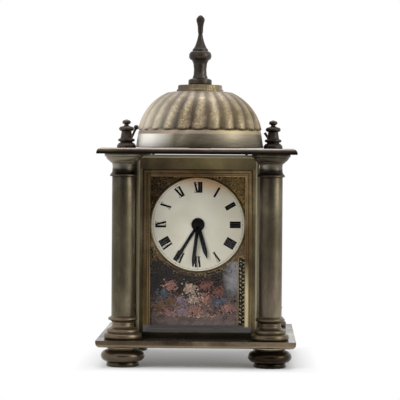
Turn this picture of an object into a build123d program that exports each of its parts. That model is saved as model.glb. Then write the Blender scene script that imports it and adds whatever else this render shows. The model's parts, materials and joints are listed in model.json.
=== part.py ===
from build123d import *
import os
from math import cos, radians, sin, sqrt

# A table alarm clock shaped as a small temple: four columns between two square plates, a glazed
# case among them, and a gadrooned bell as its dome. Millimetres, +Z up, the front faces -Y.
# The origin is on the table, under the middle of the clock.

# Plates and feet
plate_width = 100.0
plate_thickness = 3.0
base_plate_thickness = 3.6
plate_edge_radius = 2.5
foot_radius = 11.2
foot_pad_radius = 8.3
foot_pad_height = 2.4
foot_bulge_height = 5.9
foot_band_height = 2.0
foot_band_share = 0.4
foot_neck_radius = 7.8
foot_neck_height = 1.1
washer_radius = 8.4
washer_thickness = 0.9

# Columns
column_spacing = 74.2
column_height = 93.2
shaft_radius = 5.87
shaft_wall = 1.6
column_base_height = 11.6
column_flange_radius = 9.8
base_flange_height = 2.3
base_flange_taper = 0.4
base_torus_radius = 7.9
base_torus_height = 2.6
base_neck_radius = 5.7
base_ring_radius = 7.6
base_ring_height = 3.1
capital_height = 11.4
astragal_radius = 8.0
astragal_height = 2.4
capital_neck_radius = 6.0
echinus_radius = 8.2
echinus_height = 2.6
abacus_radius = 9.8
abacus_height = 2.7

# Tie rods that clamp feet, plates and columns
rod_radius = 1.6
rod_head_radius = 3.0
rod_head_height = 1.6
rod_head_clearance = 0.5
rod_recess = 1.2
rod_grip = 2.0
fit = 0.05

# Case between the columns
column_clearance = 0.13
corner_clearance = 0.3
case_gap = 0.4
frame_thickness = 4.0
frame_recess = 0.5
frame_rim = 2.1
side_wall = 2.2
plate_wall = 1.5
sight_side_margin = 7.0
sight_top_margin = 11.1
sight_above_base = 6.1
moulding_width = 3.8
moulding_height = 2.4
moulding_proud = 0.2
moulding_bead = 0.7
moulding_hollow = 0.25
first_step_width = 1.8
first_step_depth = 1.1
second_step_width = 2.7
second_step_depth = 1.9
back_screw_inset = 8.0
back_hole_clearance = 0.7
window_width = 7.5
window_height = 3.4
glass_thickness = 1.0
glass_lap = 1.0

# Dial
dial_side_gap = 0.3
dial_top_gap = 0.7
dial_thickness = 0.6
dial_plate_thickness = 0.8
dial_depth = 3.65
surround_wall = 2.2
surround_lip = 0.8
ring_width = 0.9
ring_height = 0.4
picture_width = 44.2
picture_offset = -1.3
picture_height = 33.0
picture_thickness = 0.3
dial_foot_radius = 1.5
pipe_clearance = 0.2

# Hands, at half past five with the alarm at seven
hand_thickness = 0.3
hand_gap = 0.3
hour_hand_length = 18.2
hour_hand_angle = 164.4
minute_hand_length = 21.9
minute_hand_angle = 186.4
alarm_hand_length = 21.4
alarm_hand_angle = 210.5
hour_hand_root = 0.6
hour_hand_width = 1.0
hour_boss_radius = 3.0
minute_hand_root = 0.5
minute_hand_width = 0.8
minute_hand_tip = 0.3
minute_boss_radius = 2.3
alarm_hand_root = 0.35
alarm_hand_width = 0.8
alarm_boss_radius = 3.4
press_fit = 0.01

# Movement plates
movement_width = 52.0
movement_height = 54.0
movement_plate_thickness = 1.5
movement_space = 20.0
movement_drop = 0.5
motion_work_space = 5.8
plate_corner_radius = 3.0
stud_overhang = 0.6
pillar_radius = 1.8
pillar_inset = 3.5
upper_pillar_inset = 5.5
arbor_radius = 0.8
barrel_arbor_radius = 1.5
centre_arbor_radius = 0.9
running_clearance = 0.04
screw_radius = 0.9
screw_head_radius = 1.8
screw_head_height = 0.9
screw_depth = 5.0
screw_slot_width = 0.8
screw_slot_depth = 0.5
hour_pipe_wall = 0.6
alarm_pipe_wall = 0.7

# Gear teeth: counts, and the size of a tooth in each mesh as a module
barrel_teeth = 48
centre_pinion_teeth = 8
barrel_module = 0.563
centre_teeth = 48
third_pinion_teeth = 6
centre_module = 0.55
third_teeth = 45
fourth_pinion_teeth = 6
third_module = 0.5
fourth_teeth = 48
escape_pinion_teeth = 6
fourth_module = 0.42
escape_teeth = 15
escape_radius = 6.0
cannon_teeth = 12
minute_wheel_teeth = 36
minute_pinion_teeth = 10
hour_teeth = 40
motion_distance = 12.0
alarm_disc_teeth = 36
alarm_set_teeth = 12
alarm_set_distance = 19.0
alarm_barrel_teeth = 40
alarm_pinion_teeth = 8
alarm_module = 0.6
strike_teeth = 12
strike_radius = 5.0
wheel_thickness = 1.0
spoke_width = 1.3
pinion_length = 1.8
pinion_overlap = 0.4
pinion_side_play = 0.2
rim_modules = 3.2
tooth_root_modules = 1.1
tooth_tip_modules = 0.95
tooth_half_share = 0.37
centre_hub_radius = 3.6
centre_pipe_radius = 1.9
centre_pipe_play = 0.1
centre_pinion_overlap = 0.5
third_hub_radius = 3.0
fourth_hub_radius = 2.6
alarm_disc_window = 10.5
alarm_disc_hub_radius = 4.5
escape_tooth_depth = 1.7
escape_tooth_back = 1.5
escape_rim_depth = 2.4
escape_hub_radius = 1.8
strike_tooth_depth = 1.6

# Gaps along the arbors, between one wheel or plate and the next
plate_gap = 0.3
centre_gap = 0.7
barrel_gap = 0.9
third_gap = 1.7
fourth_gap = 3.0
escape_gap = 0.5
balance_gap = 1.4
strike_gap = 2.2
minute_wheel_gap = 1.6
hour_wheel_gap = 1.7

# Where the arbors stand, as angles anticlockwise from the right, seen from the front
barrel_direction = -39.3
third_direction = 125.4
fourth_direction = 10.0
escape_direction = 0.0
lever_direction = -58.0
alarm_set_direction = -91.2
strike_direction = 125.0
alarm_barrel_place = (-13.0, -12.5)
lever_distance = 7.4
balance_distance = 13.5
balance_radius = 5.0
drum_radius = 10.0
drum_length = 8.4
verge_distance = 8.2
verge_half_span = 40.0
pallet_half_span = 42.0
pallet_gap = 1.0
lever_hub_radius = 1.3
lever_waist = 1.4
lever_half_width = 0.5
fork_gap = 1.7
balance_rim_width = 1.0
balance_arm_width = 1.2
balance_hub_radius = 1.5
balance_roller_radius = 1.3
hairspring_turns = 3.5
hairspring_start_gap = 0.02
hairspring_pitch = 0.75
hairspring_width = 0.25
hairspring_height = 0.6
hairspring_gap = 0.5
verge_gap = 0.9
verge_hub_radius = 1.5
verge_root = 1.2

# Keys, knobs and levers behind the clock
key_reach = 8.5
key_thickness = 1.6
key_height = 9.0
key_shank_wall = 1.4
key_wing_radius = 4.0
key_wing_hole_radius = 1.7
key_wing_hole_inset = 3.8
key_web_height = 3.0
key_blade_drop = 0.5
key_socket_end = 2.0
knob_radius = 4.0
knob_length = 5.0
knob_step = 0.8
knob_cap = 1.0
stem_standoff = 2.2
ratchet_teeth = 14
ratchet_radius = 5.0
ratchet_tooth_depth = 0.9
ratchet_hook_share = 0.12
click_standoff = 3.0
click_radius = 1.5
click_reach_turn = 38.0
click_tip_gap = 0.25
going_click_direction = 60.0
alarm_click_direction = 120.0
regulator_reach = 8.0
regulator_gap = 0.2
regulator_thickness = 0.9
regulator_hub_radius = 2.6
regulator_width = 1.8
regulator_tab_height = 1.4
regulator_tab_reach = 3.0
hammer_wire_radius = 0.6
hammer_head_radius = 1.3
stop_wire_radius = 0.7
wire_sides = 10
lever_y = 6.3
lever_slot_width = 2.2
lever_slot_inside = 23.3
lever_slot_outside = 39.6
roof_slot_length = 6.2
lever_inside_x = 24.7
lever_outside_x = 36.2
lever_bend_height = 5.4
hammer_knee_x = 23.6
hammer_knee_height = 18.0
hammer_head_x = 33.7
hammer_head_height = 11.0
stop_knee_x = 23.2
stop_knee_height = 6.0
stop_tip_x = 34.0
stop_tip_height = 8.6
stop_tail_length = 42.0
stop_tail_width = 1.8
stop_hub_radius = 1.62
stop_place = (22.0, 17.0)

# Bell, its post, collar and spire
bell_gap = 0.4
bell_rim_radius = 33.3
bell_skirt_top_radius = 32.0
bell_skirt_height = 8.2
bell_wall = 1.3
bell_height = 29.8
gadroon_count = 24
gadroon_depth = 1.4
gadroon_fade = 0.75
gadroon_swirl = 5.0
gadroon_overhang = 0.8
undercut_width = 2.6
undercut_reach = 1.0
undercut_drop = 1.8
undercut_step = 0.4
undercut_rise = 1.9
skirt_lap = 2.0
skirt_wall_extra = 0.5
shoulder_radius = 26.3
shoulder_axis = 6.5
shoulder_height = 5.1
post_radius = 4.0
post_flange_radius = 6.0
post_flange_height = 1.6
stud_radius = 2.2
stud_length = 9.0
stud_end_gap = 0.3
post_taper = 1.0
collar_radius = 12.2
collar_height = 3.4
collar_chamfer = 0.6

# Spire on the bell: radii, and heights above the collar
spire_foot_radius = 5.9
spire_foot_height = 2.3
spire_waist_radius = 3.5
spire_waist_height = 7.5
spire_bulb_radius = 5.6
spire_bulb_height = 15.2
spire_neck_radius = 2.3
spire_neck_height = 22.0
spire_stem_radius = 1.6
spire_stem_height = 28.0
spire_tip_radius = 2.1
spire_height = 36.6

# Two small finials beside the bell: radii, and heights above the plate
finial_offset = 38.4
finial_stem_radius = 1.4
finial_stem_length = 2.4
finial_base_radius = 4.7
finial_base_height = 1.6
finial_body_radius = 3.2
finial_body_height = 4.4
finial_disc_radius = 4.0
finial_disc_height = 10.2
finial_neck_radius = 1.5
finial_neck_height = 12.0
finial_knob_radius = 2.2
finial_height = 15.1

# Levels and half sizes that follow from the sizes above
foot_height = foot_pad_height + foot_bulge_height + foot_neck_height
base_bottom = foot_height + washer_thickness
base_top = base_bottom + base_plate_thickness
top_bottom = base_top + column_height
top_top = top_bottom + plate_thickness
column_offset = column_spacing / 2
case_half_width = column_offset - shaft_radius - column_clearance
corner_reach = max(abacus_radius, column_flange_radius) + corner_clearance
case_half_depth = column_offset - sqrt(corner_reach**2 - (column_offset - case_half_width) ** 2)
case_top = top_bottom - case_gap
case_height = case_top - base_top
frame_back = -case_half_depth + frame_thickness
back_inside = case_half_depth - plate_wall
sight_width = 2 * (case_half_width - sight_side_margin)
sight_height = case_height - sight_above_base - sight_top_margin
sight_bottom = base_top + sight_above_base
sight_middle = sight_bottom + sight_height / 2
dial_radius = sight_width / 2 - dial_side_gap
dial_z = sight_bottom + sight_height - dial_radius - dial_top_gap
glass_back = frame_back
dial_front = glass_back + dial_depth
dial_back = dial_front + dial_thickness
dial_plate_back = dial_back + dial_plate_thickness
front_plate_face = dial_plate_back + motion_work_space
front_plate_inside = front_plate_face + movement_plate_thickness
rear_plate_inside = front_plate_inside + movement_space
rear_plate_face = rear_plate_inside + movement_plate_thickness
movement_middle = dial_z - movement_drop
column_places = [(x, y) for x in (-column_offset, column_offset) for y in (-column_offset, column_offset)]


def step(start, distance, direction):
    """The point at a distance and direction from a start, in the plane of the movement."""
    turn = radians(direction)
    return (start[0] + distance * cos(turn), start[1] + distance * sin(turn))


def mesh_distance(module, teeth, other_teeth):
    return module * (teeth + other_teeth) / 2


centre_place = (0.0, 0.0)
barrel_place = step(
    centre_place, mesh_distance(barrel_module, barrel_teeth, centre_pinion_teeth), barrel_direction
)
third_place = step(
    centre_place, mesh_distance(centre_module, centre_teeth, third_pinion_teeth), third_direction
)
fourth_place = step(
    third_place, mesh_distance(third_module, third_teeth, fourth_pinion_teeth), fourth_direction
)
escape_place = step(
    fourth_place, mesh_distance(fourth_module, fourth_teeth, escape_pinion_teeth), escape_direction
)
lever_place = step(escape_place, lever_distance, lever_direction)
balance_place = step(escape_place, balance_distance, lever_direction)
minute_wheel_place = step(centre_place, motion_distance, 90)
alarm_set_place = step(centre_place, alarm_set_distance, alarm_set_direction)
alarm_distance = mesh_distance(alarm_module, alarm_barrel_teeth, alarm_pinion_teeth)
strike_place = step(alarm_barrel_place, alarm_distance, strike_direction)
hammer_place = step(strike_place, verge_distance, 90)

# Layers from the front plate to the rear plate
centre_layer = front_plate_inside + centre_gap
barrel_layer = centre_layer + wheel_thickness + barrel_gap
drum_end = barrel_layer + wheel_thickness + drum_length
third_layer = barrel_layer + wheel_thickness + third_gap
fourth_layer = third_layer + wheel_thickness + fourth_gap
alarm_layer = drum_end + plate_gap
escape_layer = alarm_layer + escape_gap
balance_layer = escape_layer + wheel_thickness + balance_gap
strike_layer = rear_plate_inside - strike_gap

# Layers between the dial plate and the front plate
minute_wheel_layer = front_plate_face - minute_wheel_gap
hour_layer = minute_wheel_layer - hour_wheel_gap
alarm_disc_layer = dial_plate_back + escape_gap
alarm_hand_y = dial_front - hand_gap - hand_thickness
hour_hand_y = alarm_hand_y - hand_gap - hand_thickness
minute_hand_y = hour_hand_y - hand_gap - hand_thickness
hour_bore = centre_arbor_radius + running_clearance
hour_pipe_radius = hour_bore + hour_pipe_wall
alarm_bore = hour_pipe_radius + running_clearance
alarm_pipe_radius = alarm_bore + alarm_pipe_wall
key_y = case_half_depth + stem_standoff


def outline(start, *moves):
    """A chain of lines and arcs: a point is gone to straight, a pair is an arc's middle and end."""
    edges = []
    here = start
    for move in moves:
        if isinstance(move[0], tuple):
            edges.append(ThreePointArc(here, move[0], move[1]))
            here = move[1]
        else:
            edges.append(Line(here, move))
            here = move
    edges.append(Line(here, start))
    return make_face(edges)


def turned(start, *moves):
    """Revolve an outline of radius and height about the Z axis."""
    return revolve(Plane.XZ * outline(start, *moves), Axis.Z)


def upright(radius, low, high):
    """A round bar along Z."""
    return Pos(0, 0, low) * extrude(Circle(radius), high - low)


def slab(face, place, near, far):
    """A face in the plane of the movement, as a solid from one depth to another."""
    plane = Plane(origin=(place[0], far, dial_z + place[1]), x_dir=(1, 0, 0), z_dir=(0, -1, 0))
    return extrude(plane * face, far - near)


def bar(radius, place, near, far):
    """A round bar from front to back."""
    return slab(Circle(radius), place, near, far)


def at_columns(piece):
    return Compound([Pos(x, y, 0) * piece for x, y in column_places])


def toothed(module, teeth, direction=0.0, gap=False, bore=0.0):
    """A wheel's face, with a tooth, or the gap between two, in the stated direction."""
    pitch = 360 / teeth
    start = direction + (pitch / 2 if gap else 0)
    root = module * (teeth / 2 - tooth_root_modules)
    tip = module * (teeth / 2 + tooth_tip_modules)
    points = []
    for tooth in range(teeth):
        middle = start + tooth * pitch
        for radius, share in ((root, -tooth_half_share), (tip, 0.0), (root, tooth_half_share)):
            points.append(step((0, 0), radius, middle + share * pitch))
    face = make_face(Polyline(*points, close=True))
    return face - Circle(bore) if bore else face


def spoked(face, rim_inside, hub_radius, spokes):
    """Cut straight-sided windows between a wheel's hub and rim."""
    sides = 4 * spokes
    ring = RegularPolygon(rim_inside, sides) - RegularPolygon(hub_radius, sides)
    for spoke in range(spokes):
        turn = spoke * 360 / spokes
        ring -= Rot(0, 0, turn) * Pos(rim_inside, 0) * Rectangle(2 * rim_inside, spoke_width)
    return face - ring


def bun_foot():
    """A pad, a bulge and a neck, with a recess below for the head of the tie rod."""
    band_bottom = foot_pad_height + foot_band_share * (foot_bulge_height - foot_band_height)
    recess_radius = rod_head_radius + rod_head_clearance
    recess_top = rod_recess + rod_head_height
    hole = rod_radius + fit
    return turned(
        (recess_radius, 0),
        (foot_pad_radius, 0),
        (foot_pad_radius, foot_pad_height),
        (foot_radius, band_bottom),
        (foot_radius, band_bottom + foot_band_height),
        (foot_neck_radius, foot_height - foot_neck_height),
        (foot_neck_radius, foot_height),
        (hole, foot_height),
        (hole, recess_top),
        (recess_radius, recess_top),
    )


def foot_washer():
    ring = Circle(washer_radius) - Circle(rod_radius + fit)
    return Pos(0, 0, foot_height) * extrude(ring, washer_thickness)


def square_plate(low, high, edge_up):
    """A square plate with one rounded edge all round, at its top or at its bottom."""
    plate = Pos(0, 0, (low + high) / 2) * Box(plate_width, plate_width, high - low)
    side = Axis.Z if edge_up else -Axis.Z
    edges = plate.faces().sort_by(side)[-1].edges()
    return fillet(edges, plate_edge_radius)


def base_plate():
    plate = square_plate(base_bottom, base_top, edge_up=False)
    for x, y in column_places:
        plate -= Pos(x, y, 0) * upright(rod_radius + fit, base_bottom - 1, base_top + 1)
    return plate


def lever_slot(side):
    """A slot through which a lever's wire comes up beside the bell."""
    middle = side * (lever_slot_inside + lever_slot_outside) / 2
    slot = Box(lever_slot_outside - lever_slot_inside, lever_slot_width, 4 * plate_thickness)
    return Pos(middle, lever_y, top_bottom) * slot


def top_plate():
    plate = square_plate(top_bottom, top_top, edge_up=True)
    for x, y in column_places:
        plate -= Pos(x, y, 0) * upright(rod_radius + fit, top_bottom - 1, top_bottom + rod_grip)
    for x in (-finial_offset, finial_offset):
        plate -= Pos(x, 0, 0) * upright(finial_stem_radius + fit, top_top - finial_stem_length, top_top + 1)
    plate -= upright(stud_radius + fit, top_bottom - 1, top_top + 1)
    return plate - lever_slot(-1) - lever_slot(1)


def column_base():
    """A flange, a torus, a hollow neck and a ring, as plain turned steps."""
    low = base_top
    high = low + column_base_height
    flange_top = low + base_flange_height
    torus_top = flange_top + base_torus_height
    ring_bottom = high - base_ring_height
    return turned(
        (rod_radius + fit, low),
        (column_flange_radius, low),
        (column_flange_radius - base_flange_taper, flange_top),
        (base_torus_radius, flange_top),
        (base_torus_radius, torus_top),
        (base_neck_radius, torus_top),
        (base_neck_radius, ring_bottom),
        (base_ring_radius, high - base_ring_height / 2),
        (shaft_radius, high),
        (rod_radius + fit, high),
    )


def column_shaft():
    low = base_top + column_base_height
    high = top_bottom - capital_height
    tube = Circle(shaft_radius) - Circle(shaft_radius - shaft_wall)
    return Pos(0, 0, low) * extrude(tube, high - low)


def column_capital():
    """An astragal, a neck, an echinus and a round abacus, as plain turned steps."""
    high = top_bottom
    low = high - capital_height
    under = high - abacus_height
    astragal_top = low + astragal_height
    return turned(
        (rod_radius + fit, low),
        (shaft_radius, low),
        (astragal_radius, low + astragal_height / 2),
        (capital_neck_radius, astragal_top),
        (capital_neck_radius, under - echinus_height),
        (echinus_radius, under - echinus_height / 2),
        (echinus_radius, under),
        (abacus_radius, under),
        (abacus_radius, high),
        (rod_radius + fit, high),
    )


def tie_rod():
    head_top = rod_recess + rod_head_height
    head = upright(rod_head_radius, rod_recess, head_top)
    slot = Pos(0, 0, rod_recess) * Box(2 * rod_head_radius + 1, screw_slot_width, 2 * screw_slot_depth)
    return head - slot + upright(rod_radius, head_top, top_bottom + rod_grip)


def case_side():
    depth = back_inside - frame_back
    middle = (back_inside + frame_back) / 2
    offset = case_half_width - side_wall / 2
    side = Box(side_wall, depth, case_height)
    right = Pos(offset, middle, base_top + case_height / 2) * side
    left = Pos(-offset, middle, base_top + case_height / 2) * side
    screw = Rot(90, 0, 0) * Cylinder(screw_radius + fit, 2 * screw_depth)
    for x, z in back_screw_places():
        hole = Pos(x, back_inside, z) * screw
        right -= hole
        left -= hole
    return Compound([left, right])


def case_plate(low):
    width = 2 * (case_half_width - side_wall)
    depth = back_inside - frame_back
    return Pos(0, (back_inside + frame_back) / 2, low + plate_wall / 2) * Box(width, depth, plate_wall)


def case_roof():
    roof = case_plate(case_top - plate_wall)
    for side in (-1, 1):
        slot = Box(roof_slot_length, lever_slot_width, 4 * plate_wall)
        roof -= Pos(side * lever_inside_x, lever_y, case_top) * slot
    return roof


def front_rectangle(width, height, near, far, middle=None):
    """A box as seen from the front, between two depths."""
    z = sight_middle if middle is None else middle
    return Pos(0, (near + far) / 2, z) * Box(width, far - near, height)


def front_frame():
    """The case's front: a rim, a sunk flat, and an opening with a lip behind the moulding."""
    near = -case_half_depth
    middle = base_top + case_height / 2
    frame = front_rectangle(2 * case_half_width, case_height, near, frame_back, middle)
    sunk_width = 2 * (case_half_width - frame_rim)
    sunk_height = case_height - frame_rim
    frame -= front_rectangle(
        sunk_width, sunk_height, near - 1, near + frame_recess, middle - frame_rim / 2
    )
    moulding_back = near + frame_recess + moulding_height
    wide = sight_width + 2 * moulding_width
    tall = sight_height + 2 * moulding_width
    frame -= front_rectangle(wide, tall, near - 1, moulding_back)
    frame -= front_rectangle(
        sight_width + 2 * glass_lap + 2 * fit, sight_height + 2 * glass_lap + 2 * fit, near, frame_back + 1
    )
    return frame


def sight_moulding():
    """A mitred picture-frame moulding: an outer bead, a cove, and a thin inner lip."""
    back = -case_half_depth + frame_recess + moulding_height
    face = -moulding_height - moulding_proud
    half = sight_width / 2
    bottom = sight_bottom
    reach = moulding_width - fit
    section = Plane(origin=(half, back, sight_middle), x_dir=(1, 0, 0), z_dir=(0, 0, 1)) * outline(
        (0, 0),
        (reach, 0),
        (reach, face),
        (reach - moulding_bead, face),
        (
            (reach - moulding_bead - moulding_hollow, face + first_step_depth - moulding_hollow),
            (reach - first_step_width, face + first_step_depth),
        ),
        (
            (reach - first_step_width - moulding_hollow, face + second_step_depth - moulding_hollow),
            (reach - second_step_width, face + second_step_depth),
        ),
        (0, face + second_step_depth),
    )
    path = Polyline(
        (half, back, sight_middle),
        (half, back, bottom + sight_height),
        (-half, back, bottom + sight_height),
        (-half, back, bottom),
        (half, back, bottom),
        (half, back, sight_middle),
    )
    return sweep(section, path=path, transition=Transition.RIGHT)


def front_glass():
    wide = sight_width + 2 * glass_lap
    tall = sight_height + 2 * glass_lap
    return front_rectangle(wide, tall, glass_back - glass_thickness, glass_back)


def dial_surround():
    """A box frame that hides the movement and holds the glass and the dial plate apart."""
    inner_wide = sight_width + 2 * surround_lip
    inner_tall = sight_height + 2 * surround_lip
    frame = front_rectangle(
        inner_wide + 2 * surround_wall, inner_tall + 2 * surround_wall, glass_back, dial_back
    )
    return frame - front_rectangle(inner_wide, inner_tall, glass_back - 1, dial_back + 1)


def dial_plate():
    """The engraved plate, and the four feet that carry the movement behind it."""
    wide = sight_width + 2 * surround_lip + 2 * surround_wall
    tall = sight_height + 2 * surround_lip + 2 * surround_wall
    plate = front_rectangle(wide, tall, dial_back, dial_plate_back)
    plate -= bar(alarm_pipe_radius + pipe_clearance, centre_place, dial_back - 1, dial_plate_back + 1)
    for place in movement_corners():
        plate += bar(dial_foot_radius, place, dial_plate_back, front_plate_face)
    return plate


def dial():
    disc = bar(dial_radius, centre_place, dial_front, dial_back)
    return disc - bar(alarm_pipe_radius + pipe_clearance, centre_place, dial_front - 1, dial_back + 1)


def dial_ring():
    inner = dial_radius + fit
    middle = inner + ring_width / 2
    outer = inner + ring_width
    crown = dial_thickness + ring_height
    ring = turned((inner, 0), (outer, 0), (outer, dial_thickness), (middle, crown), (inner, dial_thickness))
    return Pos(0, dial_back, dial_z) * Rot(90, 0, 0) * ring


def picture_panel():
    """The painted panel below the dial, cut away under the dial's ring."""
    low = sight_bottom - surround_lip
    panel = Pos(picture_offset, dial_back - picture_thickness / 2, low + picture_height / 2) * Box(
        picture_width, picture_thickness, picture_height
    )
    clear = dial_radius + fit + ring_width + fit
    return panel - bar(clear, centre_place, dial_front - 1, dial_back + 1)


def back_screw_places():
    x = case_half_width - side_wall / 2
    levels = (base_top + back_screw_inset, case_top - back_screw_inset)
    return [(side * x, z) for side in (-1, 1) for z in levels]


def movement_corners():
    """The four places where the movement's pillars and the dial's feet stand."""
    reach = movement_height / 2 - pillar_inset
    middle = movement_middle - dial_z
    low = movement_width / 2 - pillar_inset
    high = low - upper_pillar_inset
    return [(side * x, middle + z) for side in (-1, 1) for x, z in ((low, -reach), (high, reach))]


def slotted_screw(place, near, seat):
    """A screw from its shank's end to the face on which its slotted head sits."""
    head_end = seat + screw_head_height
    screw = bar(screw_radius, place, near, seat) + bar(screw_head_radius, place, seat, head_end)
    slot = Box(3 * screw_head_radius, 2 * screw_slot_depth, screw_slot_width)
    return screw - Pos(place[0], head_end, dial_z + place[1]) * slot


def back_panel():
    """The plain back, with holes for the keys, knobs and regulator, and its four screws."""
    panel = front_rectangle(
        2 * case_half_width, case_height, back_inside, case_half_depth, base_top + case_height / 2
    )
    for place in (barrel_place, alarm_barrel_place, centre_place, alarm_set_place):
        panel -= bar(barrel_arbor_radius + back_hole_clearance, place, back_inside - 1, case_half_depth + 1)
    for x, z in back_screw_places():
        panel -= bar(screw_radius + fit, (x, z - dial_z), back_inside - 1, case_half_depth + 1)
    window = Box(window_width, 4 * plate_wall, window_height)
    window_level = dial_z + balance_place[1] + regulator_reach
    return panel - Pos(balance_place[0], case_half_depth, window_level) * window


def back_screws():
    shank_end = back_inside - screw_depth + 2 * screw_slot_depth
    return Compound([
        slotted_screw((x, z - dial_z), shank_end, case_half_depth) for x, z in back_screw_places()
    ])


def movement_plate(near, far):
    face = Rectangle(movement_width, movement_height)
    face = fillet(face.vertices(), plate_corner_radius)
    plate = slab(face, (0, movement_middle - dial_z), near, far)
    holes = [(barrel_place, barrel_arbor_radius), (alarm_barrel_place, barrel_arbor_radius)]
    holes.append((centre_place, centre_arbor_radius))
    for place in (third_place, fourth_place, escape_place, lever_place, balance_place):
        holes.append((place, arbor_radius))
    for place in (alarm_set_place, strike_place, hammer_place, stop_place):
        holes.append((place, arbor_radius))
    for place, radius in holes:
        plate -= bar(radius + running_clearance, place, near - 1, far + 1)
    for place in movement_corners():
        plate -= bar(screw_radius + fit, place, near - 1, far + 1)
    return plate


def front_movement_plate():
    """The front plate, with the stud on which the minute wheel turns."""
    stud = bar(arbor_radius, minute_wheel_place, hour_layer - stud_overhang, front_plate_face)
    return movement_plate(front_plate_face, front_plate_inside) + stud


def movement_pillars():
    pillars = []
    for place in movement_corners():
        pillar = bar(pillar_radius, place, front_plate_inside, rear_plate_inside)
        stub = bar(screw_radius, place, front_plate_face, front_plate_inside)
        hole = bar(screw_radius + fit, place, rear_plate_inside - screw_depth, rear_plate_inside + 1)
        pillars.append(pillar + stub - hole)
    return Compound(pillars)


def pillar_screws():
    shank_end = rear_plate_inside - screw_depth + screw_slot_depth
    return Compound([slotted_screw(place, shank_end, rear_plate_face) for place in movement_corners()])


def train_arbor(place):
    return bar(arbor_radius, place, front_plate_face, rear_plate_face)


def wheel_and_pinion(place, wheel, wheel_near, pinion, pinion_near):
    """A wheel, its pinion and the arbor that runs between the plates, made as one turned piece."""
    body = slab(wheel, place, wheel_near, wheel_near + wheel_thickness)
    body += slab(pinion, place, pinion_near, pinion_near + pinion_length)
    return body + train_arbor(place)


def going_barrel():
    face = toothed(barrel_module, barrel_teeth, barrel_direction + 180)
    drum = slab(face, barrel_place, barrel_layer, barrel_layer + wheel_thickness)
    drum += bar(drum_radius, barrel_place, barrel_layer + wheel_thickness, drum_end)
    return drum - bar(
        barrel_arbor_radius + running_clearance, barrel_place, front_plate_inside, rear_plate_inside
    )


def alarm_barrel():
    face = toothed(alarm_module, alarm_barrel_teeth, strike_direction)
    wheel = slab(face, alarm_barrel_place, alarm_layer, alarm_layer + wheel_thickness)
    wheel += bar(drum_radius, alarm_barrel_place, alarm_layer - drum_length, alarm_layer)
    return wheel - bar(
        barrel_arbor_radius + running_clearance, alarm_barrel_place, front_plate_inside, rear_plate_inside
    )


def ratchet_face():
    """A saw-toothed wheel."""
    points = []
    pitch = 360 / ratchet_teeth
    root = ratchet_radius - ratchet_tooth_depth
    for tooth in range(ratchet_teeth):
        points.append(step((0, 0), ratchet_radius, tooth * pitch))
        points.append(step((0, 0), root, (tooth + ratchet_hook_share) * pitch))
    return make_face(Polyline(*points, close=True))


def winding_arbor(place):
    """A barrel's arbor with its ratchet wheel, running out through the back."""
    stem = bar(barrel_arbor_radius, place, front_plate_face, key_y + key_height - key_socket_end)
    ratchet_near = rear_plate_face + plate_gap
    return stem + slab(ratchet_face(), place, ratchet_near, ratchet_near + wheel_thickness)


def winding_key(place):
    """A butterfly key: a round shank with two pierced wings."""
    shank = bar(barrel_arbor_radius + key_shank_wall, place, key_y, key_y + key_height)
    wings = Rectangle(key_reach, key_web_height)
    for side in (-1, 1):
        wings += Pos(side * (key_reach - key_wing_radius), 0) * Circle(key_wing_radius)
    for side in (-1, 1):
        wings -= Pos(side * (key_reach - key_wing_hole_inset), 0) * Circle(key_wing_hole_radius)
    blade_y = key_y + key_height - key_blade_drop
    lift = Plane(origin=(place[0], blade_y, dial_z + place[1]), x_dir=(1, 0, 0), z_dir=(0, 0, 1))
    blade = extrude(lift * wings, key_thickness / 2, both=True)
    inside = bar(barrel_arbor_radius + fit, place, key_y - 1, key_y + key_height - key_socket_end)
    return shank + blade - inside


def click(place, direction):
    """A pawl beside a ratchet wheel, turning on its screw."""
    pivot = step(place, ratchet_radius + click_standoff, direction)
    near = rear_plate_face + plate_gap
    tip = step(place, ratchet_radius + click_tip_gap, direction + click_reach_turn)
    heel = step((0, 0), click_radius, direction)
    away = (tip[0] - pivot[0], tip[1] - pivot[1])
    face = Circle(click_radius) + make_face(Polyline(heel, away, (-heel[0] / 2, -heel[1] / 2), close=True))
    pawl = slab(face, pivot, near, near + wheel_thickness)
    return pawl + bar(arbor_radius, pivot, rear_plate_face, near + wheel_thickness + plate_gap)


def train_wheel(module, teeth, direction, hub_radius):
    """A four-spoked wheel's face, with a tooth in the stated direction."""
    return spoked(toothed(module, teeth, direction), module * (teeth / 2 - rim_modules), hub_radius, 4)


def centre_wheel():
    """The centre wheel and its pinion, a friction fit on the centre arbor that passes through."""
    wheel = train_wheel(centre_module, centre_teeth, third_direction, centre_hub_radius)
    body = slab(wheel, centre_place, centre_layer, centre_layer + wheel_thickness)
    pinion = toothed(barrel_module, centre_pinion_teeth, barrel_direction, gap=True)
    pinion_end = barrel_layer + wheel_thickness + centre_pinion_overlap
    body += slab(pinion, centre_place, centre_layer + wheel_thickness, pinion_end)
    body += bar(centre_pipe_radius, centre_place, front_plate_inside + centre_pipe_play, centre_layer)
    body += bar(centre_pipe_radius, centre_place, pinion_end, rear_plate_inside - centre_pipe_play)
    return body - bar(
        centre_arbor_radius + running_clearance, centre_place, front_plate_face, rear_plate_face
    )


def third_wheel():
    wheel = train_wheel(third_module, third_teeth, fourth_direction, third_hub_radius)
    pinion = toothed(centre_module, third_pinion_teeth, third_direction + 180, gap=True)
    return wheel_and_pinion(third_place, wheel, third_layer, pinion, centre_layer - pinion_overlap)


def fourth_wheel():
    wheel = train_wheel(fourth_module, fourth_teeth, escape_direction, fourth_hub_radius)
    pinion = toothed(third_module, fourth_pinion_teeth, fourth_direction + 180, gap=True)
    return wheel_and_pinion(fourth_place, wheel, fourth_layer, pinion, third_layer - pinion_overlap)


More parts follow.
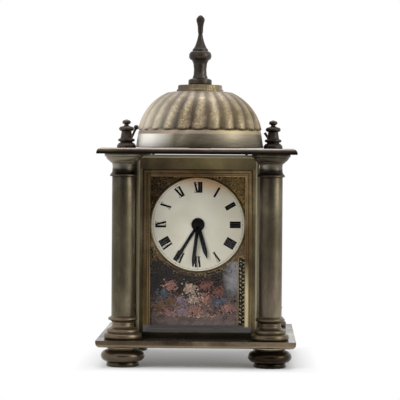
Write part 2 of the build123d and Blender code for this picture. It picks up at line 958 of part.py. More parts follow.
def escape_wheel():
    """A wheel of fifteen hooked teeth."""
    points = []
    pitch = 360 / escape_teeth
    for tooth in range(escape_teeth):
        points.append(step((0, 0), escape_radius, tooth * pitch))
        points.append(step((0, 0), escape_radius - escape_tooth_depth, (tooth + 0.15) * pitch))
        points.append(step((0, 0), escape_radius - escape_tooth_back, (tooth + 0.7) * pitch))
    wheel = make_face(Polyline(*points, close=True))
    wheel = spoked(wheel, escape_radius - escape_rim_depth, escape_hub_radius, 3)
    pinion = toothed(fourth_module, escape_pinion_teeth, escape_direction + 180, gap=True)
    return wheel_and_pinion(escape_place, wheel, escape_layer, pinion, fourth_layer - pinion_overlap)


def pallet_lever():
    """The anchor that spans the escape wheel, with its fork towards the balance."""
    up = lever_direction + 180
    wheel_middle = step((0, 0), lever_distance, up)
    waist = step((0, 0), lever_waist, lever_direction)
    tail = step((0, 0), balance_distance - lever_distance - fork_gap, lever_direction)
    across = step((0, 0), lever_half_width, lever_direction + 90)
    face = Circle(lever_hub_radius)
    for side in (-1, 1):
        tip = step(wheel_middle, escape_radius + pallet_gap, lever_direction + side * pallet_half_span)
        face += make_face(Polyline(tip, (tip[0] + waist[0], tip[1] + waist[1]), waist, close=True))
    face += make_face(
        Polyline(
            across,
            (tail[0] + across[0], tail[1] + across[1]),
            (tail[0] - across[0], tail[1] - across[1]),
            (-across[0], -across[1]),
            close=True,
        )
    )
    return slab(face, lever_place, escape_layer, escape_layer + wheel_thickness) + train_arbor(lever_place)


def balance_wheel():
    wheel = Circle(balance_radius) - Circle(balance_radius - balance_rim_width)
    wheel += Rectangle(2 * balance_radius - balance_rim_width, balance_arm_width)
    wheel += Circle(balance_hub_radius)
    body = slab(wheel, balance_place, balance_layer, balance_layer + wheel_thickness)
    body += bar(balance_roller_radius, balance_place, escape_layer, escape_layer + wheel_thickness)
    return body + train_arbor(balance_place)


def hairspring():
    """A flat spiral from the balance staff outwards."""
    steps_a_turn = 12
    inside = []
    outside = []
    for index in range(int(hairspring_turns * steps_a_turn) + 1):
        turn = index * 360 / steps_a_turn
        radius = arbor_radius + hairspring_start_gap + hairspring_pitch * turn / 360
        inside.append(step((0, 0), radius, turn))
        outside.append(step((0, 0), radius + hairspring_width, turn))
    face = make_face(Polyline(*inside, *reversed(outside), close=True))
    near = balance_layer + wheel_thickness + hairspring_gap
    return slab(face, balance_place, near, near + hairspring_height)


def regulator_lever():
    """The index that turns about the balance, with a tab that comes out through the back."""
    near = rear_plate_face + regulator_gap
    face = Circle(regulator_hub_radius)
    face += Pos(0, regulator_reach / 2) * Rectangle(regulator_width, regulator_reach)
    arm = slab(face, balance_place, near, near + regulator_thickness)
    tab_place = (balance_place[0], balance_place[1] + regulator_reach)
    tab = Rectangle(regulator_width, regulator_tab_height)
    arm += slab(tab, tab_place, near, case_half_depth + regulator_tab_reach)
    return arm - bar(arbor_radius + running_clearance, balance_place, near - 1, near + 2)


def centre_arbor():
    """The arbor that carries the minute hand, the cannon pinion and the setting knob."""
    module = 2 * motion_distance / (cannon_teeth + minute_wheel_teeth)
    arbor_end = key_y + knob_length - knob_cap
    arbor = bar(centre_arbor_radius, centre_place, minute_hand_y - arbor_radius, arbor_end)
    pinion = toothed(module, cannon_teeth, 90)
    near = minute_wheel_layer - pinion_side_play
    return arbor + slab(pinion, centre_place, near, front_plate_face - pinion_side_play)


def minute_wheel():
    """The wheel and pinion that gear the hour wheel down, on the front plate's stud."""
    module = 2 * motion_distance / (cannon_teeth + minute_wheel_teeth)
    pinion_module = 2 * motion_distance / (minute_pinion_teeth + hour_teeth)
    wheel = toothed(module, minute_wheel_teeth, -90, gap=True)
    pinion = toothed(pinion_module, minute_pinion_teeth, -90, gap=True)
    body = slab(wheel, minute_wheel_place, minute_wheel_layer, minute_wheel_layer + wheel_thickness)
    body += slab(pinion, minute_wheel_place, hour_layer - pinion_side_play, minute_wheel_layer)
    return body - bar(
        arbor_radius + running_clearance, minute_wheel_place, hour_layer - 1, front_plate_face + 1
    )


def hour_wheel():
    module = 2 * motion_distance / (minute_pinion_teeth + hour_teeth)
    body = slab(toothed(module, hour_teeth, 90), centre_place, hour_layer, hour_layer + wheel_thickness)
    body += bar(hour_pipe_radius, centre_place, hour_hand_y, hour_layer)
    return body - bar(hour_bore, centre_place, hour_hand_y - 1, front_plate_face)


def alarm_disc():
    """The alarm's wheel and pipe, behind the dial."""
    module = 2 * alarm_set_distance / (alarm_disc_teeth + alarm_set_teeth)
    wheel = toothed(module, alarm_disc_teeth, alarm_set_direction)
    wheel = spoked(wheel, alarm_disc_window, alarm_disc_hub_radius, 3)
    body = slab(wheel, centre_place, alarm_disc_layer, alarm_disc_layer + wheel_thickness)
    body += bar(alarm_pipe_radius, centre_place, alarm_hand_y, alarm_disc_layer)
    return body - bar(alarm_bore, centre_place, alarm_hand_y - 1, front_plate_face)


def alarm_set_arbor():
    module = 2 * alarm_set_distance / (alarm_disc_teeth + alarm_set_teeth)
    pinion = toothed(module, alarm_set_teeth, alarm_set_direction + 180, gap=True)
    arbor = bar(arbor_radius, alarm_set_place, alarm_disc_layer, key_y + knob_length - knob_cap)
    near = alarm_disc_layer - pinion_side_play
    return arbor + slab(pinion, alarm_set_place, near, near + wheel_thickness + 2 * pinion_side_play)


def knob(place, radius):
    """A small turned knob on the end of an arbor."""
    socket_end = key_y + knob_length - knob_cap
    body = bar(knob_radius, place, key_y, socket_end)
    body += bar(knob_radius - knob_step, place, socket_end, key_y + knob_length)
    return body - bar(radius + press_fit, place, key_y - 1, socket_end)


def pointer(face, angle, near):
    """A hand from an outline drawn pointing up, turned clockwise to its place."""
    return slab(Rot(0, 0, -angle) * face, centre_place, near, near + hand_thickness)


def hour_hand():
    """A blade that widens to its shoulder and runs out to a point."""
    length = hour_hand_length
    shoulder = length * 0.7
    blade = outline(
        (-hour_hand_root, 0),
        (-hour_hand_width, shoulder),
        (0, length),
        (hour_hand_width, shoulder),
        (hour_hand_root, 0),
    )
    face = blade + Circle(hour_boss_radius) - Circle(hour_pipe_radius + press_fit)
    return pointer(face, hour_hand_angle, hour_hand_y)


def minute_hand():
    """A long blade with a narrow square tip."""
    length = minute_hand_length
    shoulder = length * 0.82
    blade = outline(
        (-minute_hand_root, 0),
        (-minute_hand_width, shoulder),
        (-minute_hand_tip, length),
        (minute_hand_tip, length),
        (minute_hand_width, shoulder),
        (minute_hand_root, 0),
    )
    face = blade + Circle(minute_boss_radius) - Circle(centre_arbor_radius + press_fit)
    return pointer(face, minute_hand_angle, minute_hand_y)


def alarm_hand():
    """A thin stem with a wider bar at its end."""
    length = alarm_hand_length
    stem = Pos(0, length * 0.4) * Rectangle(2 * alarm_hand_root, length * 0.8)
    end = Pos(0, length * 0.89) * Rectangle(2 * alarm_hand_width, length * 0.22)
    face = Circle(alarm_boss_radius) + stem + end - Circle(alarm_pipe_radius + press_fit)
    return pointer(face, alarm_hand_angle, alarm_hand_y)


def strike_wheel():
    """The alarm's wheel, whose pointed teeth rock the hammer."""
    points = []
    pitch = 360 / strike_teeth
    for tooth in range(strike_teeth):
        points.append(step((0, 0), strike_radius, tooth * pitch))
        points.append(step((0, 0), strike_radius - strike_tooth_depth, (tooth + 0.5) * pitch))
    wheel = make_face(Polyline(*points, close=True))
    pinion = toothed(alarm_module, alarm_pinion_teeth, strike_direction + 180, gap=True)
    return wheel_and_pinion(strike_place, wheel, strike_layer, pinion, alarm_layer - pinion_overlap)


def bent_wire(radius, *points):
    """A wire of straight runs that meet in mitres, at the levers' depth."""
    path = Polyline(*[(x, lever_y, z) for x, z in points])
    section = Plane(origin=path @ 0, z_dir=path % 0) * RegularPolygon(radius, wire_sides)
    return sweep(section, path=path, transition=Transition.RIGHT)


def hammer():
    """The bell's hammer: a verge over the strike wheel, a bent wire and a round head."""
    pivot = (hammer_place[0], dial_z + hammer_place[1])
    plate_middle = top_bottom + plate_thickness / 2
    reach = strike_radius + verge_gap
    arms = [step((0, -verge_distance), reach, 90 + side * verge_half_span) for side in (-1, 1)]
    face = Circle(verge_hub_radius)
    for x, z in arms:
        face += make_face(Polyline((-verge_root, 0), (x, z), (verge_root, 0), close=True))
    head_place = (-hammer_head_x, top_top + hammer_head_height)
    wire = bent_wire(
        hammer_wire_radius,
        pivot,
        (-hammer_knee_x, pivot[1] + hammer_knee_height),
        (-lever_inside_x, plate_middle),
        (-lever_outside_x, plate_middle),
        (-lever_outside_x, top_top + lever_bend_height),
        head_place,
    )
    body = slab(face, hammer_place, strike_layer, strike_layer + wheel_thickness) + train_arbor(hammer_place)
    head = Pos(head_place[0], lever_y, head_place[1]) * Sphere(hammer_head_radius)
    return body + wire + head


def stop_lever():
    """The lever that silences the alarm: a tail across the movement and a tip beside the bell."""
    pivot = (stop_place[0], dial_z + stop_place[1])
    plate_middle = top_bottom + plate_thickness / 2
    wire = bent_wire(
        stop_wire_radius,
        pivot,
        (stop_knee_x, pivot[1] + stop_knee_height),
        (lever_inside_x, plate_middle),
        (lever_outside_x, plate_middle),
        (lever_outside_x, top_top + lever_bend_height),
        (stop_tip_x, top_top + stop_tip_height),
    )
    tail = Pos(-stop_tail_length / 2, 0) * Rectangle(stop_tail_length, stop_tail_width)
    tail += Circle(stop_hub_radius)
    body = slab(tail, stop_place, strike_layer, strike_layer + wheel_thickness)
    return body + train_arbor(stop_place) + wire


def bell_meridian(height, inset):
    """The bell's radius at a height above its rim's level, on its rounded shoulder."""
    return shoulder_axis + sqrt((shoulder_radius - inset) ** 2 - (height - shoulder_height) ** 2)


def gadroon_ring(height):
    """One level of the gadroons: a closed wire of equal arcs, each from valley to valley."""
    rise = (height - bell_skirt_height) / (bell_height - bell_skirt_height)
    crest = bell_meridian(height, 0)
    valley = bell_meridian(height, gadroon_depth * (1 - gadroon_fade * rise))
    pitch = 360 / gadroon_count
    twist = gadroon_swirl * rise
    arcs = []
    for lobe in range(gadroon_count):
        middle = lobe * pitch + twist
        arcs.append(
            ThreePointArc(
                step((0, 0), valley, middle - pitch / 2),
                step((0, 0), crest, middle),
                step((0, 0), valley, middle + pitch / 2),
            )
        )
    return Pos(0, 0, top_top + height) * make_face(arcs)


def bell():
    """The dome: a plain skirt, and gadroons that hang over it in a scalloped edge."""
    low = top_top + bell_gap
    skirt_top = top_top + bell_skirt_height
    high = top_top + bell_height
    lobe_bottom = bell_skirt_height - gadroon_overhang
    shares = (0, 0.33, 0.66, 0.88, 1)
    dome = loft([gadroon_ring(lobe_bottom + (bell_height - lobe_bottom) * share) for share in shares])
    undercut = bell_skirt_top_radius + gadroon_depth + undercut_reach
    dome -= turned(
        (undercut - undercut_width, skirt_top - undercut_drop),
        (undercut, skirt_top - undercut_drop),
        (undercut, skirt_top - undercut_step),
        (undercut - undercut_width, skirt_top + undercut_rise),
    )
    inside_top = high - bell_wall
    shoulder_inset = gadroon_depth + bell_wall
    middle_height = (skirt_top + inside_top) / 2
    crown = bell_meridian(inside_top - top_top, shoulder_inset)
    middle_radius = bell_meridian(middle_height - top_top, shoulder_inset)
    lap_top = skirt_top + skirt_lap
    skirt = turned((0, low), (bell_rim_radius, low), (bell_skirt_top_radius, lap_top), (0, lap_top))
    hollow = turned(
        (0, low - 1),
        (bell_rim_radius - bell_wall, low - 1),
        (bell_rim_radius - bell_wall, low),
        (bell_skirt_top_radius - bell_wall - skirt_wall_extra, skirt_top),
        ((middle_radius, middle_height), (crown, inside_top)),
        (0, inside_top),
    )
    return dome + skirt - hollow - upright(stud_radius + fit, inside_top - 1, high + 1)


def bell_post():
    seat = top_top + bell_height - bell_wall
    flange_top = top_top + post_flange_height
    return turned(
        (0, top_bottom),
        (stud_radius, top_bottom),
        (stud_radius, top_top),
        (post_flange_radius, top_top),
        (post_flange_radius, flange_top),
        (post_radius, flange_top + post_taper),
        (post_radius, seat),
        (stud_radius, seat),
        (stud_radius, seat + bell_wall + collar_height + stud_length),
        (0, seat + bell_wall + collar_height + stud_length),
    )


def bell_collar():
    low = top_top + bell_height
    high = low + collar_height
    return turned(
        (stud_radius + fit, low),
        (collar_radius, low),
        (collar_radius, high - collar_chamfer),
        (collar_radius - collar_chamfer, high),
        (stud_radius + fit, high),
    )


def spire():
    """The turned finial on top, screwed down on the bell's post."""
    low = top_top + bell_height + collar_height
    bore = stud_radius + fit
    bore_top = low + stud_length + stud_end_gap
    tip = low + spire_height
    return turned(
        (bore, low),
        (spire_foot_radius, low),
        (spire_foot_radius, low + spire_foot_height),
        (spire_waist_radius, low + spire_waist_height),
        (spire_bulb_radius, low + spire_bulb_height),
        (spire_neck_radius, low + spire_neck_height),
        (spire_stem_radius, low + spire_stem_height),
        (spire_tip_radius, tip - spire_tip_radius),
        (spire_tip_radius / 2, tip),
        (0, tip),
        (0, bore_top),
        (bore, bore_top),
    )


def side_finial():
    low = top_top
    return turned(
        (0, low - finial_stem_length),
        (finial_stem_radius, low - finial_stem_length),
        (finial_stem_radius, low),
        (finial_base_radius, low),
        (finial_base_radius, low + finial_base_height),
        (finial_body_radius, low + finial_body_height),
        (finial_body_radius, low + finial_disc_height),
        (finial_disc_radius, low + finial_disc_height),
        (finial_neck_radius, low + finial_neck_height),
        (finial_knob_radius, low + finial_height - finial_knob_radius),
        (finial_knob_radius / 2, low + finial_height),
        (0, low + finial_height),
    )


pieces = {
    "base_plate": base_plate(),
    "bun_feet": at_columns(bun_foot()),
    "foot_washers": at_columns(foot_washer()),
    "column_bases": at_columns(column_base()),
    "column_shafts": at_columns(column_shaft()),
    "column_capitals": at_columns(column_capital()),
    "tie_rods": at_columns(tie_rod()),
    "top_plate": top_plate(),
    "side_finials": Compound([Pos(x, 0, 0) * side_finial() for x in (-finial_offset, finial_offset)]),
    "bell_post": bell_post(),
    "bell": bell(),
    "bell_collar": bell_collar(),
    "spire": spire(),
    "case_sides": case_side(),
    "case_roof": case_roof(),
    "case_floor": case_plate(base_top),
    "front_frame": front_frame(),
    "sight_moulding": sight_moulding(),
    "front_glass": front_glass(),
    "dial_surround": dial_surround(),
    "dial_plate": dial_plate(),
    "dial": dial(),
    "dial_ring": dial_ring(),
    "picture_panel": picture_panel(),
    "back_panel": back_panel(),
    "back_screws": back_screws(),
    "front_movement_plate": front_movement_plate(),
    "rear_movement_plate": movement_plate(rear_plate_inside, rear_plate_face),
    "movement_pillars": movement_pillars(),
    "pillar_screws": pillar_screws(),
    "going_barrel": going_barrel(),
    "going_arbor": winding_arbor(barrel_place),
    "going_key": winding_key(barrel_place),
    "going_click": click(barrel_place, going_click_direction),
    "centre_wheel": centre_wheel(),
    "third_wheel": third_wheel(),
    "fourth_wheel": fourth_wheel(),
    "escape_wheel": escape_wheel(),
    "pallet_lever": pallet_lever(),
    "balance_wheel": balance_wheel(),
    "hairspring": hairspring(),
    "regulator_lever": regulator_lever(),
    "centre_arbor": centre_arbor(),
    "hand_setting_knob": knob(centre_place, centre_arbor_radius),
    "minute_hand": minute_hand(),
    "minute_wheel": minute_wheel(),
    "hour_wheel": hour_wheel(),
    "hour_hand": hour_hand(),
    "alarm_disc": alarm_disc(),
    "alarm_hand": alarm_hand(),
    "alarm_set_arbor": alarm_set_arbor(),
    "alarm_setting_knob": knob(alarm_set_place, arbor_radius),
    "alarm_barrel": alarm_barrel(),
    "alarm_arbor": winding_arbor(alarm_barrel_place),
    "alarm_key": winding_key(alarm_barrel_place),
    "alarm_click": click(alarm_barrel_place, alarm_click_direction),
    "strike_wheel": strike_wheel(),
    "hammer": hammer(),
    "stop_lever": stop_lever(),
}

os.makedirs("parts", exist_ok=True)
for name, piece in pieces.items():
    piece.label = name
    export_step(piece, "parts/" + name + ".step")
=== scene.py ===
import json
import math
import random

import bmesh
import bpy
from mathutils import Euler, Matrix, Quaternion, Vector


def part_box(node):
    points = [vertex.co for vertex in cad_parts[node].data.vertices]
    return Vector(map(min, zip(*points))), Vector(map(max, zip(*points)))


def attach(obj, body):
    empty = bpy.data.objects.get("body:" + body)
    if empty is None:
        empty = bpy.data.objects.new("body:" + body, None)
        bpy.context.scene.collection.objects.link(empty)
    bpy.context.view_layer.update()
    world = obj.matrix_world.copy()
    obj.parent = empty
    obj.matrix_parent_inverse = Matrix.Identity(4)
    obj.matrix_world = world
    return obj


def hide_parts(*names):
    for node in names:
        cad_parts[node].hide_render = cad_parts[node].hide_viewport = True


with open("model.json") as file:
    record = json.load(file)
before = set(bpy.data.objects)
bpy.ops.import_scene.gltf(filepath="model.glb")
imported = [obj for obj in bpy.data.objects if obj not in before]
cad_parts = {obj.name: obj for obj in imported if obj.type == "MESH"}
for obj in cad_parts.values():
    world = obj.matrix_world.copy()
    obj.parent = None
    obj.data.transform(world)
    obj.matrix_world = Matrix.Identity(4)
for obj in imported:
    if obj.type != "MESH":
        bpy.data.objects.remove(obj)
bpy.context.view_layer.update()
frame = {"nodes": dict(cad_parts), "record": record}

MM = 0.001
FACING = (math.pi / 2, 0, 0)  # turns a flat shape up into the plane of the dial
chance = random.Random(17)


def extent(node):
    """A node's lowest and highest corners in the frame, in millimetres."""
    low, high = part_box(node)
    return [value / MM for value in low], [value / MM for value in high]


# Levels and faces of the clock, in millimetres, taken from the frame
FOOT_TOP = extent("bun_feet")[1][2]
BASE_TOP = extent("base_plate")[1][2]
SHAFT_BOTTOM, SHAFT_TOP = (corner[2] for corner in extent("column_shafts"))
PLATE_BOTTOM, PLATE_TOP = (corner[2] for corner in extent("top_plate"))
BELL_TOP = extent("bell")[1][2]
COLLAR_TOP = extent("bell_collar")[1][2]
SHAFT_RADIUS, FINIAL_RADIUS = 5.87, 4.7
COLUMN_OFFSET = (extent("column_shafts")[1][0] - extent("column_shafts")[0][0]) / 2 - SHAFT_RADIUS
FINIAL_OFFSET = extent("side_finials")[1][0] - FINIAL_RADIUS
DIAL_Z = (extent("dial")[0][2] + extent("dial")[1][2]) / 2
DIAL_FACE = extent("dial")[0][1]
PANEL_FACE = extent("picture_panel")[0][1]
PLATE_FACE = extent("dial_plate")[0][1]
CASE_LOW, CASE_HIGH = extent("front_frame")
MOULDING_LOW, MOULDING_HIGH = extent("sight_moulding")
MOULDING_BACK = MOULDING_HIGH[1]
MOULDING_WIDTH = 3.75
SIGHT_LEFT, SIGHT_RIGHT = MOULDING_LOW[0] + MOULDING_WIDTH, MOULDING_HIGH[0] - MOULDING_WIDTH
SIGHT_BOTTOM, SIGHT_TOP = MOULDING_LOW[2] + MOULDING_WIDTH, MOULDING_HIGH[2] - MOULDING_WIDTH

# The bell's lobes: how many, points round each, heights above the plate, pitch and twist in degrees
LOBES, LOBE_POINTS = 24, 8
LOBE_BOTTOM, LOBE_TOP = 9.6, 29.2
PITCH, SWIRL = 360 / LOBES, 5.0
BELL_INSIDE = 12.2


# Working by hand
def put_down():
    """Leave edit mode and let go of everything."""
    if bpy.context.object and bpy.context.object.mode != "OBJECT":
        bpy.ops.object.mode_set(mode="OBJECT")
    bpy.ops.object.select_all(action="DESELECT")


def pick_up(*pieces):
    put_down()
    for piece in pieces:
        piece.select_set(True)
    bpy.context.view_layer.objects.active = pieces[0]


def mm(*values):
    """Millimetres as the scene's metres."""
    return tuple(value * MM for value in values)


def open_mesh():
    """Go into edit mode with everything selected."""
    bpy.ops.object.mode_set(mode="EDIT")
    bpy.ops.mesh.select_all(action="SELECT")


def close_mesh():
    bpy.ops.object.mode_set(mode="OBJECT")


def pull(x, y, z):
    """Extrude what is selected, by a distance in millimetres."""
    bpy.ops.mesh.extrude_region_move(TRANSFORM_OT_translate={"value": mm(x, y, z)})


def inset(width, sink=0.0):
    """Inset the selected face by a width and sink it, in millimetres."""
    bpy.ops.mesh.inset(thickness=width * MM, depth=-sink * MM)


def choose(piece, wanted):
    """In edit mode, select the vertices for which wanted(co) is true."""
    mesh = bmesh.from_edit_mesh(piece.data)
    for vertex in mesh.verts:
        vertex.select_set(wanted(vertex.co))
    mesh.select_flush(True)
    mesh.select_flush(False)
    bmesh.update_edit_mesh(piece.data)


def join_up(name, pieces):
    pick_up(*pieces)
    if len(pieces) > 1:
        bpy.ops.object.join()
    whole = bpy.context.object
    whole.name = name
    whole.data.name = name
    return whole


def settle(piece):
    """Put the piece's place into its mesh and turn its faces outwards."""
    pick_up(piece)
    bpy.ops.object.transform_apply()
    open_mesh()
    bpy.ops.mesh.remove_doubles(threshold=1e-7)
    bpy.ops.mesh.normals_make_consistent(inside=False)
    close_mesh()
    return piece


def ease_edges(piece, width, segments=2, limit=30):
    """Break the sharp edges with a small bevel."""
    pick_up(piece)
    bevel = piece.modifiers.new("eased", "BEVEL")
    bevel.width = width * MM
    bevel.segments = segments
    bevel.limit_method = "ANGLE"
    bevel.angle_limit = math.radians(limit)
    bevel.harden_normals = False
    bpy.ops.object.modifier_apply(modifier=bevel.name)
    return piece


def give(piece, finish, body="case", stands_for=(), smooth=32):
    """Smooth a piece, give it its finish, hang it on the body that carries it, and hide the parts it stands
    for.
    """
    pick_up(piece)
    bpy.ops.object.shade_smooth_by_angle(angle=math.radians(smooth))
    piece.data.materials.clear()
    piece.data.materials.append(finish)
    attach(piece, body)
    if stands_for:
        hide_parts(*stands_for)
    return piece


def stamp(shape, place, lean=0.0, size=None):
    """A copy with a mesh of its own, at a place and of a size in millimetres, leaning by radians."""
    twin = shape.copy()
    twin.data = shape.data.copy()
    bpy.context.collection.objects.link(twin)
    twin.location = mm(*place)
    twin.rotation_euler = (0, lean, 0)
    if size:
        twin.scale = mm(*size)
    return twin


def block(low, high):
    """A plain box between two corners, in millimetres."""
    put_down()
    middle = [(a + b) / 2 for a, b in zip(low, high)]
    size = [b - a for a, b in zip(low, high)]
    bpy.ops.mesh.primitive_cube_add(size=1, location=mm(*middle), scale=mm(*size))
    return bpy.context.object


def dial_disc(radius, around, y):
    """A flat disc about the dial's middle, in millimetres."""
    bpy.ops.mesh.primitive_circle_add(
        vertices=around, radius=radius * MM, fill_type="NGON", location=mm(0, y, DIAL_Z), rotation=FACING
    )
    return bpy.context.object


def swelled(profile):
    """The points of a lathe profile; a third number swells the way to that point out or in."""
    points = []
    for before, after in zip(profile, profile[1:]):
        if len(after) > 2:
            for index in range(1, 9):
                turn = math.pi * index / 9
                share = (1 - math.cos(turn)) / 2
                points.append((
                    before[0] + (after[0] - before[0]) * share + after[2] * math.sin(turn),
                    before[1] + (after[1] - before[1]) * share,
                ))
        points.append(after[:2])
    return points


def turn_on_lathe(name, x, y, profile, around, base):
    """Draw a closed ring up along a profile of radius, height and swell, in millimetres."""
    put_down()
    radius, height = profile[0][:2]
    bpy.ops.mesh.primitive_circle_add(
        vertices=around, radius=radius * MM, fill_type="NGON", location=mm(x, y, base + height)
    )
    piece = bpy.context.object
    piece.name = name
    open_mesh()
    for new_radius, new_height in swelled(profile):
        pull(0, 0, new_height - height)
        share = new_radius / radius
        bpy.ops.transform.resize(value=(share, share, 1), center_override=mm(x, y, base + new_height))
        radius, height = new_radius, new_height
    close_mesh()
    return settle(piece)


# Finishes
def place_in(finish):
    """The object coordinates in a finish."""
    return finish.node_tree.nodes.new("ShaderNodeTexCoord").outputs["Object"]


def nodes_of(name):
    """A new material with its shader and object coordinates."""
    finish = bpy.data.materials.new(name)
    finish.use_nodes = True
    return finish, finish.node_tree.nodes["Principled BSDF"], place_in(finish)


def beside(socket, kind):
    """A new node in the tree that a socket belongs to."""
    return socket.id_data.nodes.new("ShaderNode" + kind)


def feed(node, inputs):
    """Give a node's inputs by name, each a number, a colour or another socket."""
    for name, value in inputs.items():
        if isinstance(value, (int, float)):
            node.inputs[name].default_value = value
        elif isinstance(value, tuple):
            node.inputs[name].default_value = (*value, 1)
        else:
            node.id_data.links.new(value, node.inputs[name])
    return node.outputs


def stretched(place, scale):
    mapping = beside(place, "Mapping")
    mapping.inputs["Scale"].default_value = scale
    return feed(mapping, {"Vector": place})["Vector"]


def noise(place, scale, detail=4.0, roughness=0.55, distortion=0.0):
    return feed(beside(place, "TexNoise"), {
        "Vector": place, "Scale": scale, "Detail": detail, "Roughness": roughness, "Distortion": distortion,
    })["Fac"]


def ramp(value, *stops):
    """Colours along a value: each stop is its place and its colour, or one number for a grey."""
    node = beside(value, "ValToRGB")
    band = node.color_ramp
    while len(band.elements) < len(stops):
        band.elements.new(0.5)
    for element, (position, colour) in zip(band.elements, stops):
        element.position = position
        element.color = (*colour, 1) if isinstance(colour, tuple) else (colour, colour, colour, 1)
    return feed(node, {"Fac": value})["Color"]


def mixed(kind, share, first, second):
    """Two colours mixed; the share and the second may be a socket or plain."""
    node = beside(first, "Mix")
    node.data_type = "RGBA"
    node.blend_type = kind
    return feed(node, {0: share, 6: first, 7: second})[2]


def reckon(operation, *values):
    """A sum on a socket and further numbers, each a socket or plain."""
    node = beside(values[0], "Math")
    node.operation = operation
    return feed(node, dict(enumerate(values)))[0]


def product(first, *others):
    for other in others:
        first = reckon("MULTIPLY", first, other)
    return first


def ranged(value, low, high, new_low=0.0, new_high=1.0):
    return feed(beside(value, "MapRange"), {
        "Value": value, "From Min": low, "From Max": high, "To Min": new_low, "To Max": new_high,
    })["Result"]


def between(value, low, high, new_low=0.0, new_high=1.0):
    """The same as ranged, with its limits in millimetres."""
    return ranged(value, low * MM, high * MM, new_low, new_high)


def band(value, start, full, still, end, share=1.0):
    """A share that grows from start to full and falls away from still to end, in millimetres."""
    return product(between(value, start, full, 0.0, share), between(value, end, still))


def attribute(place, name):
    node = beside(place, "Attribute")
    node.attribute_name = name
    return node.outputs


def bumped(shader, height, strength, distance):
    settings = {"Strength": strength, "Distance": distance * MM, "Height": height}
    feed(shader, {"Normal": feed(beside(height, "Bump"), settings)["Normal"]})


def srgb(red, green, blue):
    """A colour from its display values, 0 to 255, as light."""
    return tuple(
        (value / 255 / 12.92) if value <= 10.3 else ((value / 255 + 0.055) / 1.055) ** 2.4
        for value in (red, green, blue)
    )


def patinated(name, dark, middle, light, metallic=0.85, gloss=(0.3, 0.5), grain=(60, 60, 60), wear=0.12):
    """Old metal: clouds of patina in three display colours, a fine grain, and small bright scuffs."""
    finish, shader, place = nodes_of(name)
    dark, middle, light = (srgb(*colour) for colour in (dark, middle, light))
    cloud = noise(place, 28.0, 6, 0.6, 0.6)
    base = ramp(cloud, (0.32, dark), (0.5, middle), (0.7, light))
    streak = noise(stretched(place, grain), 22, 4, 0.7)
    base = mixed("OVERLAY", 0.45, base, ramp(streak, (0.3, 0.3), (0.7, 0.7)))
    speck = noise(place, 1500, 2, 0.5)
    scuff = ranged(speck, 0.66, 0.74, 0.0, wear)
    base = mixed("MIX", scuff, base, tuple(min(1.0, value * 2.2 + 0.02) for value in light))
    rough = ranged(cloud, 0.3, 0.7, gloss[1], gloss[0])
    feed(shader, {"Base Color": base, "Metallic": metallic, "Roughness": rough})
    height = reckon("ADD", product(streak, 0.6), product(speck, 0.4))
    bumped(shader, height, 0.25, 0.05)
    return finish


def axes_of(finish):
    """The X, Y and Z of a finish's object coordinates."""
    place = place_in(finish)
    parts = feed(beside(place, "SeparateXYZ"), {0: place})
    return [parts[name] for name in "XYZ"]


def retint(finish, share, colour, kind="MIX"):
    """Lay one more colour over a finish, by a share made in its own tree."""
    shader = finish.node_tree.nodes["Principled BSDF"]
    old = shader.inputs["Base Color"].links[0].from_socket
    feed(shader, {"Base Color": mixed(kind, share, old, colour)})
    return finish


def fade_in(finish, axis, start, full, share, colour, kind="MIX"):
    """Lay a colour over a finish, from none at one place on an axis to a share at another, in millimetres."""
    along = axes_of(finish)["XYZ".index(axis)]
    return retint(finish, between(along, start, full, 0.0, share), colour, kind)


def mottle(finish, scale, strength, first, second):
    """Broad clouds of two tints over an old metal."""
    cloud = noise(stretched(place_in(finish), (1.0, 1.0, 0.6)), scale, 3, 0.5, 0.4)
    tint = ramp(cloud, (0.36, first), (0.5, 0.5), (0.64, second))
    return retint(finish, strength, tint, "OVERLAY")


